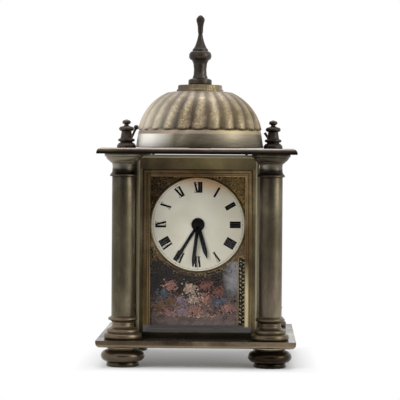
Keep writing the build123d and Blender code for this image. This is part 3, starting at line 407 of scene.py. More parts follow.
def column_metal():
    """The columns: purplish and green-grey clouds, with painted shading darker at the left of each and paler
    at the right, darker toward the top, painted shade just under the capital, a painted shadow in its neck and
    painted highlights above it.
    """
    finish = mottle(
        patinated("column_brass", (84, 72, 60), (114, 102, 86), (148, 136, 118), 0.92, (0.3, 0.46),
                  (60, 60, 8)),
        38, 0.55, (0.52, 0.43, 0.42), (0.45, 0.52, 0.42),
    )
    across, depth, height = axes_of(finish)
    outward = reckon("SUBTRACT", reckon("ABSOLUTE", across), COLUMN_OFFSET * MM)
    rightward = product(outward, reckon("SIGN", across))
    place = between(rightward, -5.9, 5.9)
    # Painted shading across each column: dark at its left, pale at its right.
    painted_side_shading = ramp(place, (0.0, 0.7), (0.18, 0.52), (0.42, (0.48, 0.48, 0.49)), (0.6, (0.64, 0.63, 0.62)),
                (0.8, (1.0, 0.99, 0.97)), (0.97, 0.92))
    retint(finish, 0.85, painted_side_shading, "MULTIPLY")
    # Darker toward the top of the shaft.
    fade_in(finish, "Z", SHAFT_BOTTOM, SHAFT_TOP, 0.35, (0.35, 0.34, 0.33), "MULTIPLY")
    # Painted shade in the last 9 mm under the capital.
    fade_in(finish, "Z", SHAFT_TOP - 9.0, SHAFT_TOP, 0.35, (0.3, 0.29, 0.28), "MULTIPLY")
    # Painted shadow in the concave neck of the capital.
    painted_neck_shadow = band(height, SHAFT_TOP + 0.9, SHAFT_TOP + 1.5, SHAFT_TOP + 3.0, SHAFT_TOP + 4.0, 0.92)
    retint(finish, product(painted_neck_shadow, between(rightward, -4.6, -3.0)), srgb(22, 17, 12))
    # A painted highlight on the neck of the capital, strongest at the left of each column.
    rise = band(height, SHAFT_TOP + 3.6, SHAFT_TOP + 4.6, SHAFT_TOP + 6.0, SHAFT_TOP + 7.0, 0.4)
    retint(finish, product(rise, between(rightward, -1.0, -4.0, 0.3, 1.0)), srgb(196, 192, 178))
    # A painted highlight on the top slab of the capital, toward the clock's left.
    abacus_highlight = product(between(height, SHAFT_TOP + 6.0, SHAFT_TOP + 8.0, 0.0, 0.45),
                     between(across, 10, -10, 0.0, 0.85))
    return retint(finish, abacus_highlight, srgb(178, 168, 146))


def left_lit(finish, share):
    """The same metal, paler at the clock's left and darker at its right."""
    fade_in(finish, "X", -10, -30, share * 0.35, srgb(150, 136, 116))
    return fade_in(finish, "X", 10, 30, share, (0.3, 0.27, 0.24), "MULTIPLY")


def plate_metal():
    """The top plate: nearly black below, with a painted reflection along its upper edge."""
    finish = patinated("plate_bronze", (40, 31, 24), (62, 52, 43), (100, 88, 76), 0.85, (0.26, 0.4))
    fade_in(finish, "Z", PLATE_BOTTOM + 1.7, PLATE_BOTTOM + 1.0, 0.8, srgb(18, 13, 9))
    # Painted reflection: a pale band along the upper edge of the plate.
    edge = band(axes_of(finish)[2], PLATE_TOP - 1.0, PLATE_TOP - 0.2, PLATE_TOP - 0.1, PLATE_TOP - 0.03, 0.42)
    return retint(finish, edge, srgb(170, 158, 148))


def case_metal():
    """The case: olive brown on its sunk flats, paler on the raised rim and along its edges, with painted shade
    beside the moulding at the left and below it, and a painted highlight on the flat above it.
    """
    finish = mottle(
        patinated("case_brass", (64, 54, 36), (100, 88, 63), (142, 130, 100), 0.85, (0.28, 0.44)),
        90, 0.22, (0.56, 0.46, 0.36), (0.47, 0.53, 0.38),
    )
    across, depth, height = axes_of(finish)
    shade = between(across, MOULDING_LOW[0] - 2.4, MOULDING_LOW[0] - 1.3, 0.0, 0.6)
    retint(finish, product(shade, between(across, -24, -26)), srgb(46, 36, 26))
    # Darker toward the left and right of the flat above the moulding, with a painted highlight in its middle.
    over = product(between(height, MOULDING_HIGH[2], MOULDING_HIGH[2] + 0.3),
                   between(depth, CASE_LOW[1] + 1.0, CASE_LOW[1] + 0.8))
    for start, full, share, tone in ((-4, -18, 0.65, (50, 38, 26)), (4, 18, 0.5, (60, 50, 30))):
        retint(finish, product(over, between(across, start, full, 0.0, share)), srgb(*tone))
    retint(finish, product(over, band(across, -8, 3, 12, 24, 0.25)), srgb(146, 134, 84))
    # Painted shadow along the strip below the moulding.
    fade_in(finish, "Z", MOULDING_LOW[2], MOULDING_LOW[2] - 0.3, 0.85, srgb(36, 32, 28))
    rim = product(between(depth, CASE_LOW[1] + 0.3, CASE_LOW[1] + 0.1, 0.0, 0.8),
                  between(height, CASE_LOW[2] + 1.0, CASE_LOW[2] + 2.5),
                  between(across, -26, -30, 1.0, 0.9))
    return retint(finish, rim, srgb(192, 182, 152))


def moulding_metal():
    """The moulding: painted shade along its steps, darkest up its left with painted highlight lines low on
    that side, slate along the foot, and a painted highlight low on the right.
    """
    finish = mottle(
        patinated("moulding_brass", (84, 65, 44), (130, 108, 76), (190, 166, 124), 0.9, (0.24, 0.4)),
        50, 0.5, (0.58, 0.42, 0.32), (0.5, 0.52, 0.36),
    )
    across, depth, height = axes_of(finish)
    beside = reckon("SUBTRACT", reckon("ABSOLUTE", across), SIGHT_RIGHT * MM)
    middle = (SIGHT_TOP + SIGHT_BOTTOM) / 2
    past = reckon("SUBTRACT", height, middle * MM)
    past = reckon("SUBTRACT", reckon("ABSOLUTE", past), (SIGHT_TOP - middle) * MM)
    step = between(reckon("MAXIMUM", beside, past), 0.0, MOULDING_WIDTH)
    # Painted shade along the steps of the moulding.
    groove_shade = ramp(step, (0.0, 0.9), (0.14, 1.0), (0.18, 0.22), (0.25, 0.5), (0.42, 0.8), (0.46, 0.25),
                   (0.54, 0.5), (0.68, 1.0), (0.73, 0.3), (0.8, 0.7), (0.93, 0.9), (0.98, 0.25))
    retint(finish, 0.8, groove_shade, "MULTIPLY")
    left = between(across, SIGHT_LEFT + 0.8, SIGHT_LEFT + 0.1)
    upper = between(height, SIGHT_BOTTOM + 24.0, SIGHT_BOTTOM + 46.0, 0.0, 0.6)
    retint(finish, product(left, upper), srgb(34, 24, 15))
    # Painted highlight lines near the inner edge, low on the left.
    lines = ramp(step, (0.0, 0.9), (0.12, 0.8), (0.16, 0.0), (0.27, 0.0), (0.31, 0.7), (0.38, 0.7),
                 (0.42, 0.0))
    lower = between(height, SIGHT_BOTTOM + 42.0, SIGHT_BOTTOM + 22.0, 0.0, 0.6)
    retint(finish, product(lines, lower, left), srgb(206, 172, 122))
    fade_in(finish, "Z", SIGHT_TOP, SIGHT_TOP + 0.6, 0.3, srgb(40, 28, 16))
    fade_in(finish, "Z", SIGHT_BOTTOM + 0.6, SIGHT_BOTTOM - 0.4, 0.85, srgb(122, 120, 120))
    # A painted highlight along the inner edge, low on the right.
    inner = band(across, SIGHT_RIGHT - 0.3, SIGHT_RIGHT + 0.5, SIGHT_RIGHT + 1.4, SIGHT_RIGHT + 2.4)
    low = band(height, SIGHT_BOTTOM - 1.2, SIGHT_BOTTOM - 0.2,
               SIGHT_BOTTOM + 16.0, SIGHT_BOTTOM + 33.0, 0.95)
    return retint(finish, product(inner, low), srgb(255, 238, 190))


def bell_metal():
    """Pale tarnished brass with gilt left in specks, painted shade in the valleys of the gadroons and under
    their lower ends, and painted light toward its left.
    """
    finish, shader, place = nodes_of("bell_metal")
    cloud = noise(place, 55, 6, 0.65, 0.8)
    base = ramp(cloud, (0.3, srgb(102, 88, 68)), (0.5, srgb(148, 134, 111)), (0.68, srgb(198, 186, 166)))
    speck = noise(place, 820, 3, 0.7)
    gold = ramp(speck, (0.4, srgb(200, 187, 160)), (0.52, srgb(156, 137, 98)), (0.64, srgb(116, 92, 50)))
    base = mixed("MIX", ranged(noise(place, 90, 3, 0.5), 0.4, 0.58, 0.15, 0.62), base, gold)
    valley = attribute(place, "valley")["Fac"]
    ragged = ranged(noise(place, 170, 4, 0.65), 0.3, 0.7, -0.22, 0.22)
    # Painted shade in the valleys of the gadroons, with ragged edges.
    valley_shade = ranged(reckon("ADD", valley, ragged), 0.2, 0.8, 0.0, 0.9)
    base = mixed("MIX", valley_shade, base, srgb(66, 54, 44))
    # A painted shadow under the lower ends of the lobes.
    above = reckon("ADD", axes_of(finish)[2], product(valley, -0.8 * MM))
    lobe_foot = PLATE_TOP + LOBE_BOTTOM
    hem = between(above, lobe_foot + 0.7, lobe_foot + 0.1, 0.0, 0.75)
    base = mixed("MIX", hem, base, srgb(58, 46, 36))
    rough = ranged(cloud, 0.3, 0.7, 0.56, 0.4)
    feed(shader, {"Base Color": base, "Metallic": 0.6, "Roughness": rough})
    bumped(shader, speck, 0.5, 0.12)
    # Painted light: paler toward the bell's left.
    fade_in(finish, "X", -8, -30, 0.55, srgb(236, 226, 206))
    fade_in(finish, "X", 0, 12, 0.25, srgb(150, 132, 92))
    return fade_in(finish, "Z", PLATE_TOP + 20, PLATE_TOP + 29, 0.55, srgb(118, 108, 96))


def engraved_gilt():
    """Gilt brass engraved with fine scrolls over a dark stippled ground."""
    finish, shader, place = nodes_of("engraved_gilt")
    wave = beside(place, "TexWave")
    wave.wave_type = "RINGS"
    feed(wave, {"Vector": place, "Scale": 230, "Distortion": 22, "Detail": 3, "Detail Scale": 1.3})
    scroll = ranged(wave.outputs["Fac"], 0.45, 0.75)
    stipple = noise(place, 2600, 2, 0.6)
    ground = ramp(stipple, (0.4, srgb(34, 24, 14)), (0.62, srgb(76, 58, 32)))
    raised = ramp(noise(place, 240, 3, 0.6), (0.35, srgb(96, 74, 40)), (0.65, srgb(186, 156, 96)))
    base = mixed("MIX", scroll, ground, raised)
    feed(shader, {"Base Color": base, "Metallic": 0.7, "Roughness": 0.38})
    bumped(shader, reckon("ADD", scroll, product(stipple, 0.4)), 0.6, 0.15)
    # Painted shade over the left of the plate, and a painted highlight toward its right.
    fade_in(finish, "X", 2, -16, 0.75, (0.16, 0.12, 0.08), "MULTIPLY")
    return fade_in(finish, "X", 12, 20, 0.22, srgb(176, 142, 74))


def cream_enamel():
    """The dial: cream enamel, gently mottled, with a painted warm reflection along its upper edge."""
    finish, shader, place = nodes_of("cream_enamel")
    across, depth, height = axes_of(finish)
    cloud = noise(place, 90, 4, 0.5)
    base = ramp(cloud, (0.35, srgb(206, 201, 181)), (0.65, srgb(219, 215, 198)))
    # A painted warm reflection along the dial's upper edge, ragged and reaching lower at the right.
    lean = reckon("ADD", height, product(cloud, 6 * MM))
    lean = reckon("ADD", lean, product(across, 0.22))
    painted_reflection = between(lean, DIAL_Z + 19.5, DIAL_Z + 26.5, 0.0, 0.95)
    base = mixed("MIX", painted_reflection, base, srgb(188, 138, 86))
    base = mixed("MIX", between(across, 0, 20, 0.0, 0.42), base, srgb(186, 178, 154))
    speck = noise(place, 900, 3, 0.6)
    base = mixed("MIX", ranged(speck, 0.68, 0.78, 0.0, 0.35), base, srgb(150, 134, 104))
    feed(shader, {"Base Color": base, "Roughness": 0.45})
    bumped(shader, speck, 0.08, 0.03)
    return finish


def print_black(name, colour):
    finish, shader, place = nodes_of(name)
    grain = noise(place, 1400, 3, 0.6)
    base = ramp(grain, (0.3, colour), (0.8, tuple(value * 1.5 + 0.002 for value in colour)))
    feed(shader, {"Base Color": base, "Roughness": 0.55, "Specular IOR Level": 0.08})
    return finish


def painted_ground():
    """The dark garden ground of the painted panel: foliage, a patch of evening sky, a stone ledge."""
    finish, shader, place = nodes_of("painted_ground")
    leaf = noise(place, 520, 5, 0.7, 1.6)
    base = ramp(leaf, (0.36, srgb(14, 9, 7)), (0.5, srgb(28, 20, 15)), (0.62, srgb(48, 36, 25)),
                (0.74, srgb(92, 70, 42)))
    feed(shader, {"Base Color": base, "Roughness": 0.5, "Specular IOR Level": 0.15})
    across, depth, height = axes_of(finish)
    edge = product(noise(place, 320, 5, 0.7), 10 * MM)
    right = reckon("ADD", across, edge)
    above = reckon("ADD", height, edge)
    sky = product(between(right, 17.5, 22.5),
                  between(above, SIGHT_BOTTOM + 15, SIGHT_BOTTOM + 26), 0.9)
    cloud = noise(place, 260, 4, 0.6)
    retint(finish, sky, ramp(cloud, (0.35, srgb(114, 111, 116)), (0.7, srgb(157, 154, 156))))
    haze = noise(place, 380, 5, 0.7, 0.8)
    dusk = ramp(haze, (0.35, srgb(74, 58, 54)), (0.65, srgb(146, 122, 112)))
    retint(finish, between(above, SIGHT_BOTTOM + 21, SIGHT_BOTTOM + 12, 0.0, 0.8), dusk)
    stone = ramp(noise(place, 420, 4, 0.65), (0.35, srgb(94, 84, 82)), (0.7, srgb(138, 126, 122)))
    retint(finish, between(above, SIGHT_BOTTOM + 8.0, SIGHT_BOTTOM + 4.5, 0.0, 0.9), stone)
    bumped(shader, leaf, 0.25, 0.05)
    return finish


def paint():
    """Oil paint whose colour each brush mark carries."""
    finish, shader, place = nodes_of("oil_paint")
    grain = noise(place, 1800, 3, 0.6)
    shade = ramp(grain, (0.3, 0.35), (0.7, 0.65))
    base = mixed("OVERLAY", 0.5, attribute(place, "tint")["Color"], shade)
    feed(shader, {"Base Color": base, "Roughness": 0.5, "Specular IOR Level": 0.15})
    bumped(shader, grain, 0.3, 0.03)
    return finish


def clear_glass():
    """Flat glass: it passes most light and mirrors a little of the room."""
    finish, shader, place = nodes_of("clear_glass")
    smear = ranged(noise(place, 60, 4, 0.6), 0.3, 0.7, 0.02, 0.06)
    feed(shader, {"Base Color": (0.5, 0.5, 0.52), "Metallic": 1.0, "Roughness": smear, "Alpha": 0.014})
    return finish


bronze = patinated("dark_bronze", (34, 28, 24), (54, 46, 40), (88, 78, 70), 0.75, (0.3, 0.48))
plate_bronze = plate_metal()
base_brass = fade_in(
    patinated("base_brass", (54, 44, 34), (84, 71, 56), (128, 113, 92), 0.95, (0.17, 0.32), (6, 60, 60)),
    "Z", BASE_TOP - 1.9, BASE_TOP - 2.7, 0.5, srgb(178, 164, 138),
)
column_brass = column_metal()
foundation_brass = left_lit(mottle(
    patinated("foundation_brass", (64, 54, 42), (92, 80, 64), (132, 118, 97), 0.92, (0.34, 0.48)),
    50, 0.5, (0.54, 0.43, 0.4), (0.45, 0.52, 0.42),
), 0.45)
foot_brass = left_lit(mottle(
    patinated("foot_brass", (34, 25, 17), (58, 46, 33), (96, 80, 61), 0.92, (0.2, 0.34)),
    60, 0.4, (0.54, 0.43, 0.34), (0.48, 0.48, 0.4),
), 0.75)
# Painted shade on the lower part of the feet.
fade_in(foot_brass, "Z", 3.6, 1.6, 0.6, srgb(34, 27, 20))
gilt = patinated("worn_gilt", (92, 76, 44), (140, 118, 74), (186, 164, 116), 0.88, (0.25, 0.42))
collar_brass = fade_in(
    patinated("collar_brass", (72, 61, 42), (112, 98, 72), (170, 154, 122), 0.85, (0.3, 0.46)),
    "X", 4, -6, 0.6, srgb(84, 68, 56),
)
washer_brass = patinated("washer_brass", (120, 106, 80), (164, 150, 118), (206, 192, 160), 0.88)
machined_brass = patinated("machined_brass", (104, 84, 50), (140, 117, 76), (176, 154, 106), 0.9, (0.28, 0.4))
turned_steel = patinated("turned_steel", (120, 120, 122), (158, 158, 160), (190, 190, 192), 0.95, (0.2, 0.32))
black_enamel = patinated(
    "black_enamel", (9.88, 9.88, 9.88), (12.93, 12.93, 12.93), (20.01, 17.89, 15.56), 0.0, (0.3, 0.45),
)
black_enamel.node_tree.nodes["Principled BSDF"].inputs["Specular IOR Level"].default_value = 0.12
bright_gilt = patinated("bright_gilt", (140, 118, 72), (196, 172, 118), (236, 216, 168), 0.75, (0.3, 0.45))
case_brass = case_metal()
moulding_brass = moulding_metal()
bell_finish = bell_metal()
# Painted reflection: the skirt nearly white toward the bell's left.
skirt_finish = fade_in(
    patinated("skirt_metal", (100, 92, 76), (132, 123, 105), (170, 160, 141), 0.95, (0.42, 0.52), (6, 6, 90)),
    "X", -12, -24, 0.97, srgb(255, 252, 243),
)
hem_finish = fade_in(
    patinated("bell_hem", (112, 98, 84), (148, 132, 115), (184, 168, 150), 0.4, (0.4, 0.6)),
    "X", 4, 14, 0.6, srgb(188, 170, 118),
)
engraving = engraved_gilt()
garland_gilt = mottle(
    patinated("garland_gilt", (62, 46, 26), (110, 88, 54), (172, 146, 98), 0.8, (0.3, 0.45), wear=0.5),
    900, 0.6, (0.3, 0.26, 0.2), (0.75, 0.7, 0.6),
)
enamel = cream_enamel()
black_print = print_black("black_print", (0.004, 0.004, 0.004))
grey_print = print_black("grey_print", srgb(104, 101, 92))
ground_paint = painted_ground()
brush_paint = paint()
glass = clear_glass()

# Finishes on the nodes of the frame
node_finish = {
    "dark_brass": case_brass, "gilt_brass": gilt, "bell_brass": skirt_finish, "dark_bronze": bronze,
    "movement_brass": machined_brass, "steel": turned_steel, "blackened_steel": black_enamel,
    "dial_enamel": enamel, "painted_panel": ground_paint, "clear_glass": glass,
}
special_finish = {
    "top_plate": plate_bronze, "base_plate": base_brass, "dial_plate": engraving,
    "dial_surround": moulding_brass, "sight_moulding": moulding_brass,
    "dial_ring": gilt, "hammer": bronze, "stop_lever": bronze,
    "centre_arbor": black_enamel,
}
for part in frame["record"]["subparts"]:
    node = frame["nodes"][part["node"]]
    finish = special_finish.get(part["node"], node_finish[part["material_slot"]])
    if not node.material_slots:
        node.data.materials.append(finish)
    for socket in node.material_slots:
        socket.material = finish


# Turned pieces
def four_turned(name, profile, base, finish, node, ease=0.12):
    """Turn one piece at a corner and copy it to the other three."""
    first = turn_on_lathe(name, -COLUMN_OFFSET, -COLUMN_OFFSET, profile, 72, base)
    ease_edges(first, ease)
    reach = 2 * COLUMN_OFFSET
    copies = [stamp(first, (x, y, 0)) for x, y in ((reach, 0), (0, reach), (reach, reach))]
    whole = settle(join_up(name, [first, *copies]))
    return give(whole, finish, stands_for=(node,))


four_turned(
    "turned_bun_feet",
    [(3.5, 2.8), (3.5, 0.0), (7.7, 0.0), (8.3, 0.5), (8.1, 2.0), (7.7, 2.5), (7.6, 8.4, 3.45),
     (7.8, 8.8), (7.8, 9.4)],
    0.0, foot_brass, "bun_feet",
)
four_turned(
    "turned_foot_washers", [(8.2, 0.0), (8.4, 0.2), (8.4, 0.7), (8.2, 0.9)], FOOT_TOP, washer_brass,
    "foot_washers", 0.08,
)
four_turned(
    "turned_column_bases",
    [(9.1, 0.0), (9.3, 0.3), (9.0, 2.7, 0.45), (8.1, 3.0), (7.8, 3.3), (7.4, 5.1, 0.6), (6.9, 5.4),
     (5.6, 7.4, -0.55), (5.5, 8.4, -0.1), (6.3, 9.2), (6.9, 9.4), (6.8, 10.9, 0.6), (6.2, 11.3), (5.87, 11.6)],
    BASE_TOP, foundation_brass, "column_bases",
)
four_turned(
    "turned_column_shafts",
    [(SHAFT_RADIUS, 0.0), (SHAFT_RADIUS, 17.0), (SHAFT_RADIUS, 35.0), (5.86, 53.0),
     (5.85, SHAFT_TOP - SHAFT_BOTTOM)],
    SHAFT_BOTTOM, column_brass, "column_shafts", 0.05,
)
four_turned(
    "turned_column_capitals",
    [(5.87, 0.0), (6.7, 0.1), (7.0, 0.4), (6.9, 0.9), (6.4, 1.5), (5.8, 2.8, -0.1), (5.72, 4.2),
     (5.85, 6.4, -0.1), (6.3, 7.0), (6.9, 7.2), (7.0, 7.6), (8.9, 9.8, 0.4), (9.2, 10.0),
     (9.6, 10.2), (9.7, 10.5), (9.7, 11.4)],
    SHAFT_TOP, column_brass, "column_capitals",
)


def turned_finials():
    profile = [
        (4.8, 0.0), (5.0, 0.3), (5.0, 1.4), (4.1, 2.6), (3.3, 2.9), (3.2, 3.3), (4.1, 3.6), (4.2, 4.8, 0.25),
        (3.4, 5.1), (3.1, 5.6), (2.6, 8.7), (2.9, 9.0), (2.7, 11.3, 1.15), (1.3, 11.8), (1.1, 12.5),
        (0.9, 14.7, 1.25), (0.3, 15.0),
    ]
    left = turn_on_lathe("turned_side_finials", -FINIAL_OFFSET, 0, profile, 48, PLATE_TOP)
    ease_edges(left, 0.1)
    right = stamp(left, (2 * FINIAL_OFFSET, 0, 0))
    pair = settle(join_up("turned_side_finials", [left, right]))
    give(pair, bronze, stands_for=("side_finials",))


def turned_spire():
    profile = [
        (5.9, 0.0), (6.05, 0.4), (5.95, 2.7, 0.15), (5.0, 3.2), (3.9, 3.5), (3.9, 4.3), (3.5, 5.0),
        (3.25, 8.0), (3.6, 11.0), (4.3, 12.6, -0.1), (4.4, 13.0), (4.2, 17.6, 1.6), (4.1, 18.0),
        (4.1, 18.5), (3.9, 18.8), (1.35, 27.5, -0.8), (1.45, 29.5, -0.03), (2.05, 33.0, -0.15),
        (2.15, 33.9, 0.04), (0.6, 36.3, 0.45), (0.2, 36.5),
    ]
    spire = ease_edges(turn_on_lathe("turned_spire", 0, 0, profile, 72, COLLAR_TOP), 0.12)
    give(spire, bronze, stands_for=("spire",))


def turned_collar():
    """The flat collar under the spire, with a milled edge."""
    profile = [(12.2, 0.0), (12.2, 0.9), (11.6, 1.2), (11.5, 2.9), (11.2, 3.3), (6.0, 3.4)]
    collar = turn_on_lathe("milled_collar", 0, 0, profile, 144, BELL_TOP)
    pick_up(collar)
    open_mesh()

    def every_other(co):
        turn = math.degrees(math.atan2(co.y, co.x)) % 5.0
        return turn > 2.0 and 11.3 * MM < math.hypot(co.x, co.y) and co.z < (BELL_TOP + 3.0) * MM

    choose(collar, every_other)
    bpy.ops.transform.resize(value=(0.985, 0.985, 1), center_override=(0, 0, 0))
    close_mesh()
    ease_edges(collar, 0.05, 1, 40)
    give(collar, collar_brass, stands_for=("bell_collar",))


turned_finials()
turned_spire()
turned_collar()


# The gadrooned bell
def crest_radius(height):
    """How far out the crests stand: an arc of 26.3 mm about a point 6.5 mm out and 5.1 mm up."""
    return 6.5 + math.sqrt(26.3**2 - (height - 5.1) ** 2)


def off_crest(co):
    """How far round a point lies from the nearest crest, in degrees."""
    turn = math.degrees(math.atan2(co.y, co.x)) % PITCH
    return min(turn, PITCH - turn)


def on_dome(co):
    return math.hypot(co.x, co.y) > BELL_INSIDE * MM


def gadrooned_bell():
    """The dome: turned plain first, then its lobes are pressed in ring by ring, and twisted."""
    span = LOBE_TOP - LOBE_BOTTOM
    shares = (0, 0.03, 0.08, 0.16, 0.25, 0.34, 0.43, 0.52, 0.6, 0.68, 0.75, 0.81, 0.87, 0.92, 0.96, 1)
    heights = [LOBE_BOTTOM + span * share for share in shares]
    lobed = [(crest_radius(height), height) for height in heights]
    lobed[0] = (lobed[0][0] - 0.45, LOBE_BOTTOM)
    profile = [(12.0, 27.5), (22.0, 23.5), (28.0, 16.0), (30.4, 8.0), (31.9, 0.4), (33.1, 0.4), (33.3, 0.8),
               (32.3, 7.4), (32.2, 7.9), (31.9, 9.1), (31.2, 9.35), *lobed, (13.6, 29.7), (12.0, 29.8)]
    bell = turn_on_lathe("gadrooned_bell", 0, 0, profile, LOBES * LOBE_POINTS, PLATE_TOP)
    pick_up(bell)
    open_mesh()
    rings = [((PLATE_TOP + height) * MM, (height - LOBE_BOTTOM) / span, crest_radius(height))
             for height in heights]
    for level, rise, crest in rings:
        depth = 1.9 * (1 - 0.7 * rise)
        for step in range(1, LOBE_POINTS // 2 + 1):
            share = step / (LOBE_POINTS / 2)
            pressed = 1 - depth * (1 - math.cos(share * math.pi / 2)) / crest
            choose(bell, lambda co: abs(co.z - level) < 1e-5 and on_dome(co)
                   and abs(off_crest(co) / (PITCH / LOBE_POINTS) - step) < 0.2)
            bpy.ops.transform.resize(value=(pressed, pressed, 1), center_override=(0, 0, level))
            if rise < 0.1:
                bpy.ops.transform.translate(value=mm(0, 0, 0.54 * (1 - rise / 0.1) * share**2))
    close_mesh()
    valley = bell.data.attributes.new("valley", "FLOAT", "POINT")
    bell.data.update()
    depths = []
    for vertex in bell.data.vertices:
        outside = on_dome(vertex.co) and vertex.co.z / MM - PLATE_TOP >= LOBE_BOTTOM - 0.4
        depths.append(off_crest(vertex.co) / (PITCH / 2) if outside else 0.0)
    valley.data.foreach_set("value", depths)
    open_mesh()
    for level, rise, _ in rings[1:]:
        choose(bell, lambda co: abs(co.z - level) < (3e-4 if rise < 0.1 else 1e-5)
               and co.z > (PLATE_TOP + 9.5) * MM and on_dome(co))
        twist = -math.radians(SWIRL * rise)
        bpy.ops.transform.rotate(value=twist, orient_axis="Z", center_override=(0, 0, level))
    close_mesh()
    settle(bell)
    give(bell, bell_finish, stands_for=("bell",), smooth=50)
    for finish in (skirt_finish, hem_finish):
        bell.data.materials.append(finish)
    for face in bell.data.polygons:
        height = face.center.z / MM - PLATE_TOP
        face.material_index = 1 if height < 7.45 else 2 if height < 9.3 else 0


gadrooned_bell()


# Case front
def board(name, low, high, back, front):
    """A board in the plane of the dial, from its back to its front face, left in edit mode."""
    put_down()
    x, _, z = [(a + b) / 2 for a, b in zip(low, high)]
    bpy.ops.mesh.primitive_plane_add(size=1, location=mm(x, back, z), rotation=FACING)
    piece = bpy.context.object
    piece.name = name
    bpy.ops.transform.resize(value=((high[0] - low[0]) * MM, 1, (high[2] - low[2]) * MM))
    bpy.ops.object.transform_apply()
    open_mesh()
    pull(0, front - back, 0)
    return piece


def open_middle(piece, back):
    """Take out the chosen front face and the whole back face, and bridge the two openings."""
    bpy.ops.mesh.delete(type="FACE")
    mesh = bmesh.from_edit_mesh(piece.data)
    behind = [face for face in mesh.faces if all(abs(v.co.y - back * MM) < 1e-6 for v in face.verts)]
    bmesh.ops.delete(mesh, geom=behind, context="FACES_ONLY")
    bmesh.update_edit_mesh(piece.data)
    bpy.ops.mesh.select_mode(type="EDGE")
    bpy.ops.mesh.select_non_manifold()
    bpy.ops.mesh.bridge_edge_loops()
    close_mesh()
    return settle(piece)


def mitred_moulding():
    """The stepped moulding round the sight, inset step by step from its outer edge."""
    piece = board("mitred_moulding", MOULDING_LOW, MOULDING_HIGH, MOULDING_BACK, MOULDING_BACK - 2.55)
    for width, sink in ((0.65, 0.0), (0.12, 0.45), (0.55, 0.1), (0.1, 0.4), (0.75, -0.1), (0.12, 0.5),
                        (0.6, 0.1), (0.1, 0.35), (0.66, 0.05)):
        inset(width, sink)
    pull(0, 0.35, 0)
    ease_edges(open_middle(piece, MOULDING_BACK), 0.07, 2, 25)
    give(piece, moulding_brass, stands_for=("sight_moulding",), smooth=28)


def case_front():
    """The case's front: a raised rim at the top and sides, a sunk flat, and the opening for the moulding."""
    back, front = CASE_HIGH[1], CASE_LOW[1] * MM
    rim, sunk, slope, gap, rise = 1.6, 0.5, 0.08, 0.05, 0.15
    piece = board("case_front", CASE_LOW, (CASE_HIGH[0], back, CASE_HIGH[2] + rise), back, CASE_LOW[1])
    inset(rim)
    choose(piece, lambda co: abs(co.y - front) < 1e-6 and abs(co.z - (CASE_LOW[2] + rim) * MM) < 1e-5)
    bpy.ops.transform.translate(value=mm(0, 0, 0.02 - rim))
    inner_side = (CASE_HIGH[0] - rim) * MM
    choose(piece, lambda co: abs(co.y - front) < 1e-6 and abs(abs(co.x) - inner_side) < 1e-5)
    inset(slope, sunk)
    flat_side = MOULDING_HIGH[0] + gap
    inset(CASE_HIGH[0] - rim - slope - flat_side)
    for level, target in ((CASE_HIGH[2] - 20, MOULDING_HIGH[2] + gap),
                          (CASE_LOW[2] + 20, MOULDING_LOW[2] - gap)):
        upper = level > DIAL_Z
        choose(piece, lambda co: abs(abs(co.x) - flat_side * MM) < 1e-5 and (co.z > level * MM) == upper)
        level_now = max(v.co.z for v in bmesh.from_edit_mesh(piece.data).verts if v.select)
        bpy.ops.transform.translate(value=(0, 0, target * MM - level_now))
    choose(piece, lambda co: abs(abs(co.x) - flat_side * MM) < 1e-5)
    ease_edges(open_middle(piece, back), 0.1, 2, 25)
    give(piece, case_brass, stands_for=("front_frame",), smooth=28)


mitred_moulding()
case_front()


# Dial
def dial_point(across, out, hour):
    """A point on the dial, from its place in a numeral's own frame: across, and out from the middle."""
    turn = math.radians(hour * 30)
    x = out * math.sin(turn) + across * math.cos(turn)
    z = out * math.cos(turn) - across * math.sin(turn)
    return x, z

def stroke(hour, low, high, width, thickness=0.05):
    """One stroke of a numeral, from its low end to its high end, each (across, out)."""
    x1, z1 = dial_point(*low, hour)
    x2, z2 = dial_point(*high, hour)
    bpy.ops.mesh.primitive_cube_add(
        size=1, location=mm((x1 + x2) / 2, DIAL_FACE - thickness / 2, DIAL_Z + (z1 + z2) / 2),
        rotation=(0, math.atan2(x2 - x1, z2 - z1), 0),
        scale=mm(width, thickness, math.hypot(x2 - x1, z2 - z1)),
    )
    return bpy.context.object


NUMERALS = ("I", "II", "III", "IIII", "V", "VI", "VII", "VIII", "IX", "X", "XI", "XII")
WIDTHS = {"I": 1.15, "V": 1.9, "X": 2.1}
INNER, OUTER = 16.4, 21.8
HEAVY, HAIR, SERIF = 1.11, 0.2, 0.2


def numerals():
    """The hours: heavy and hair strokes with thin serifs, their feet towards the middle."""
    put_down()
    strokes = []
    for hour, letters in enumerate(NUMERALS, 1):
        whole = sum(WIDTHS[letter] for letter in letters)
        left = -whole / 2
        for letter in letters:
            wide = WIDTHS[letter]
            middle = left + wide / 2
            if letter == "I":
                strokes.append(stroke(hour, (middle, INNER), (middle, OUTER), HEAVY))
            elif letter == "V":
                strokes.append(stroke(hour, (middle + 0.05, INNER), (middle - 0.55, OUTER), HEAVY * 0.86))
                strokes.append(stroke(hour, (middle + 0.05, INNER), (middle + 0.75, OUTER), HAIR))
            else:
                strokes.append(stroke(hour, (middle + 0.7, INNER), (middle - 0.7, OUTER), HEAVY * 0.9))
                strokes.append(stroke(hour, (middle - 0.75, INNER), (middle + 0.75, OUTER), HAIR))
            left += wide
        for out in (INNER, OUTER):
            strokes.append(stroke(hour, (-whole / 2 + 0.05, out), (whole / 2 - 0.05, out), SERIF))
    piece = settle(join_up("hour_numerals", strokes))
    ease_edges(piece, 0.012, 1, 40)
    give(piece, black_print)


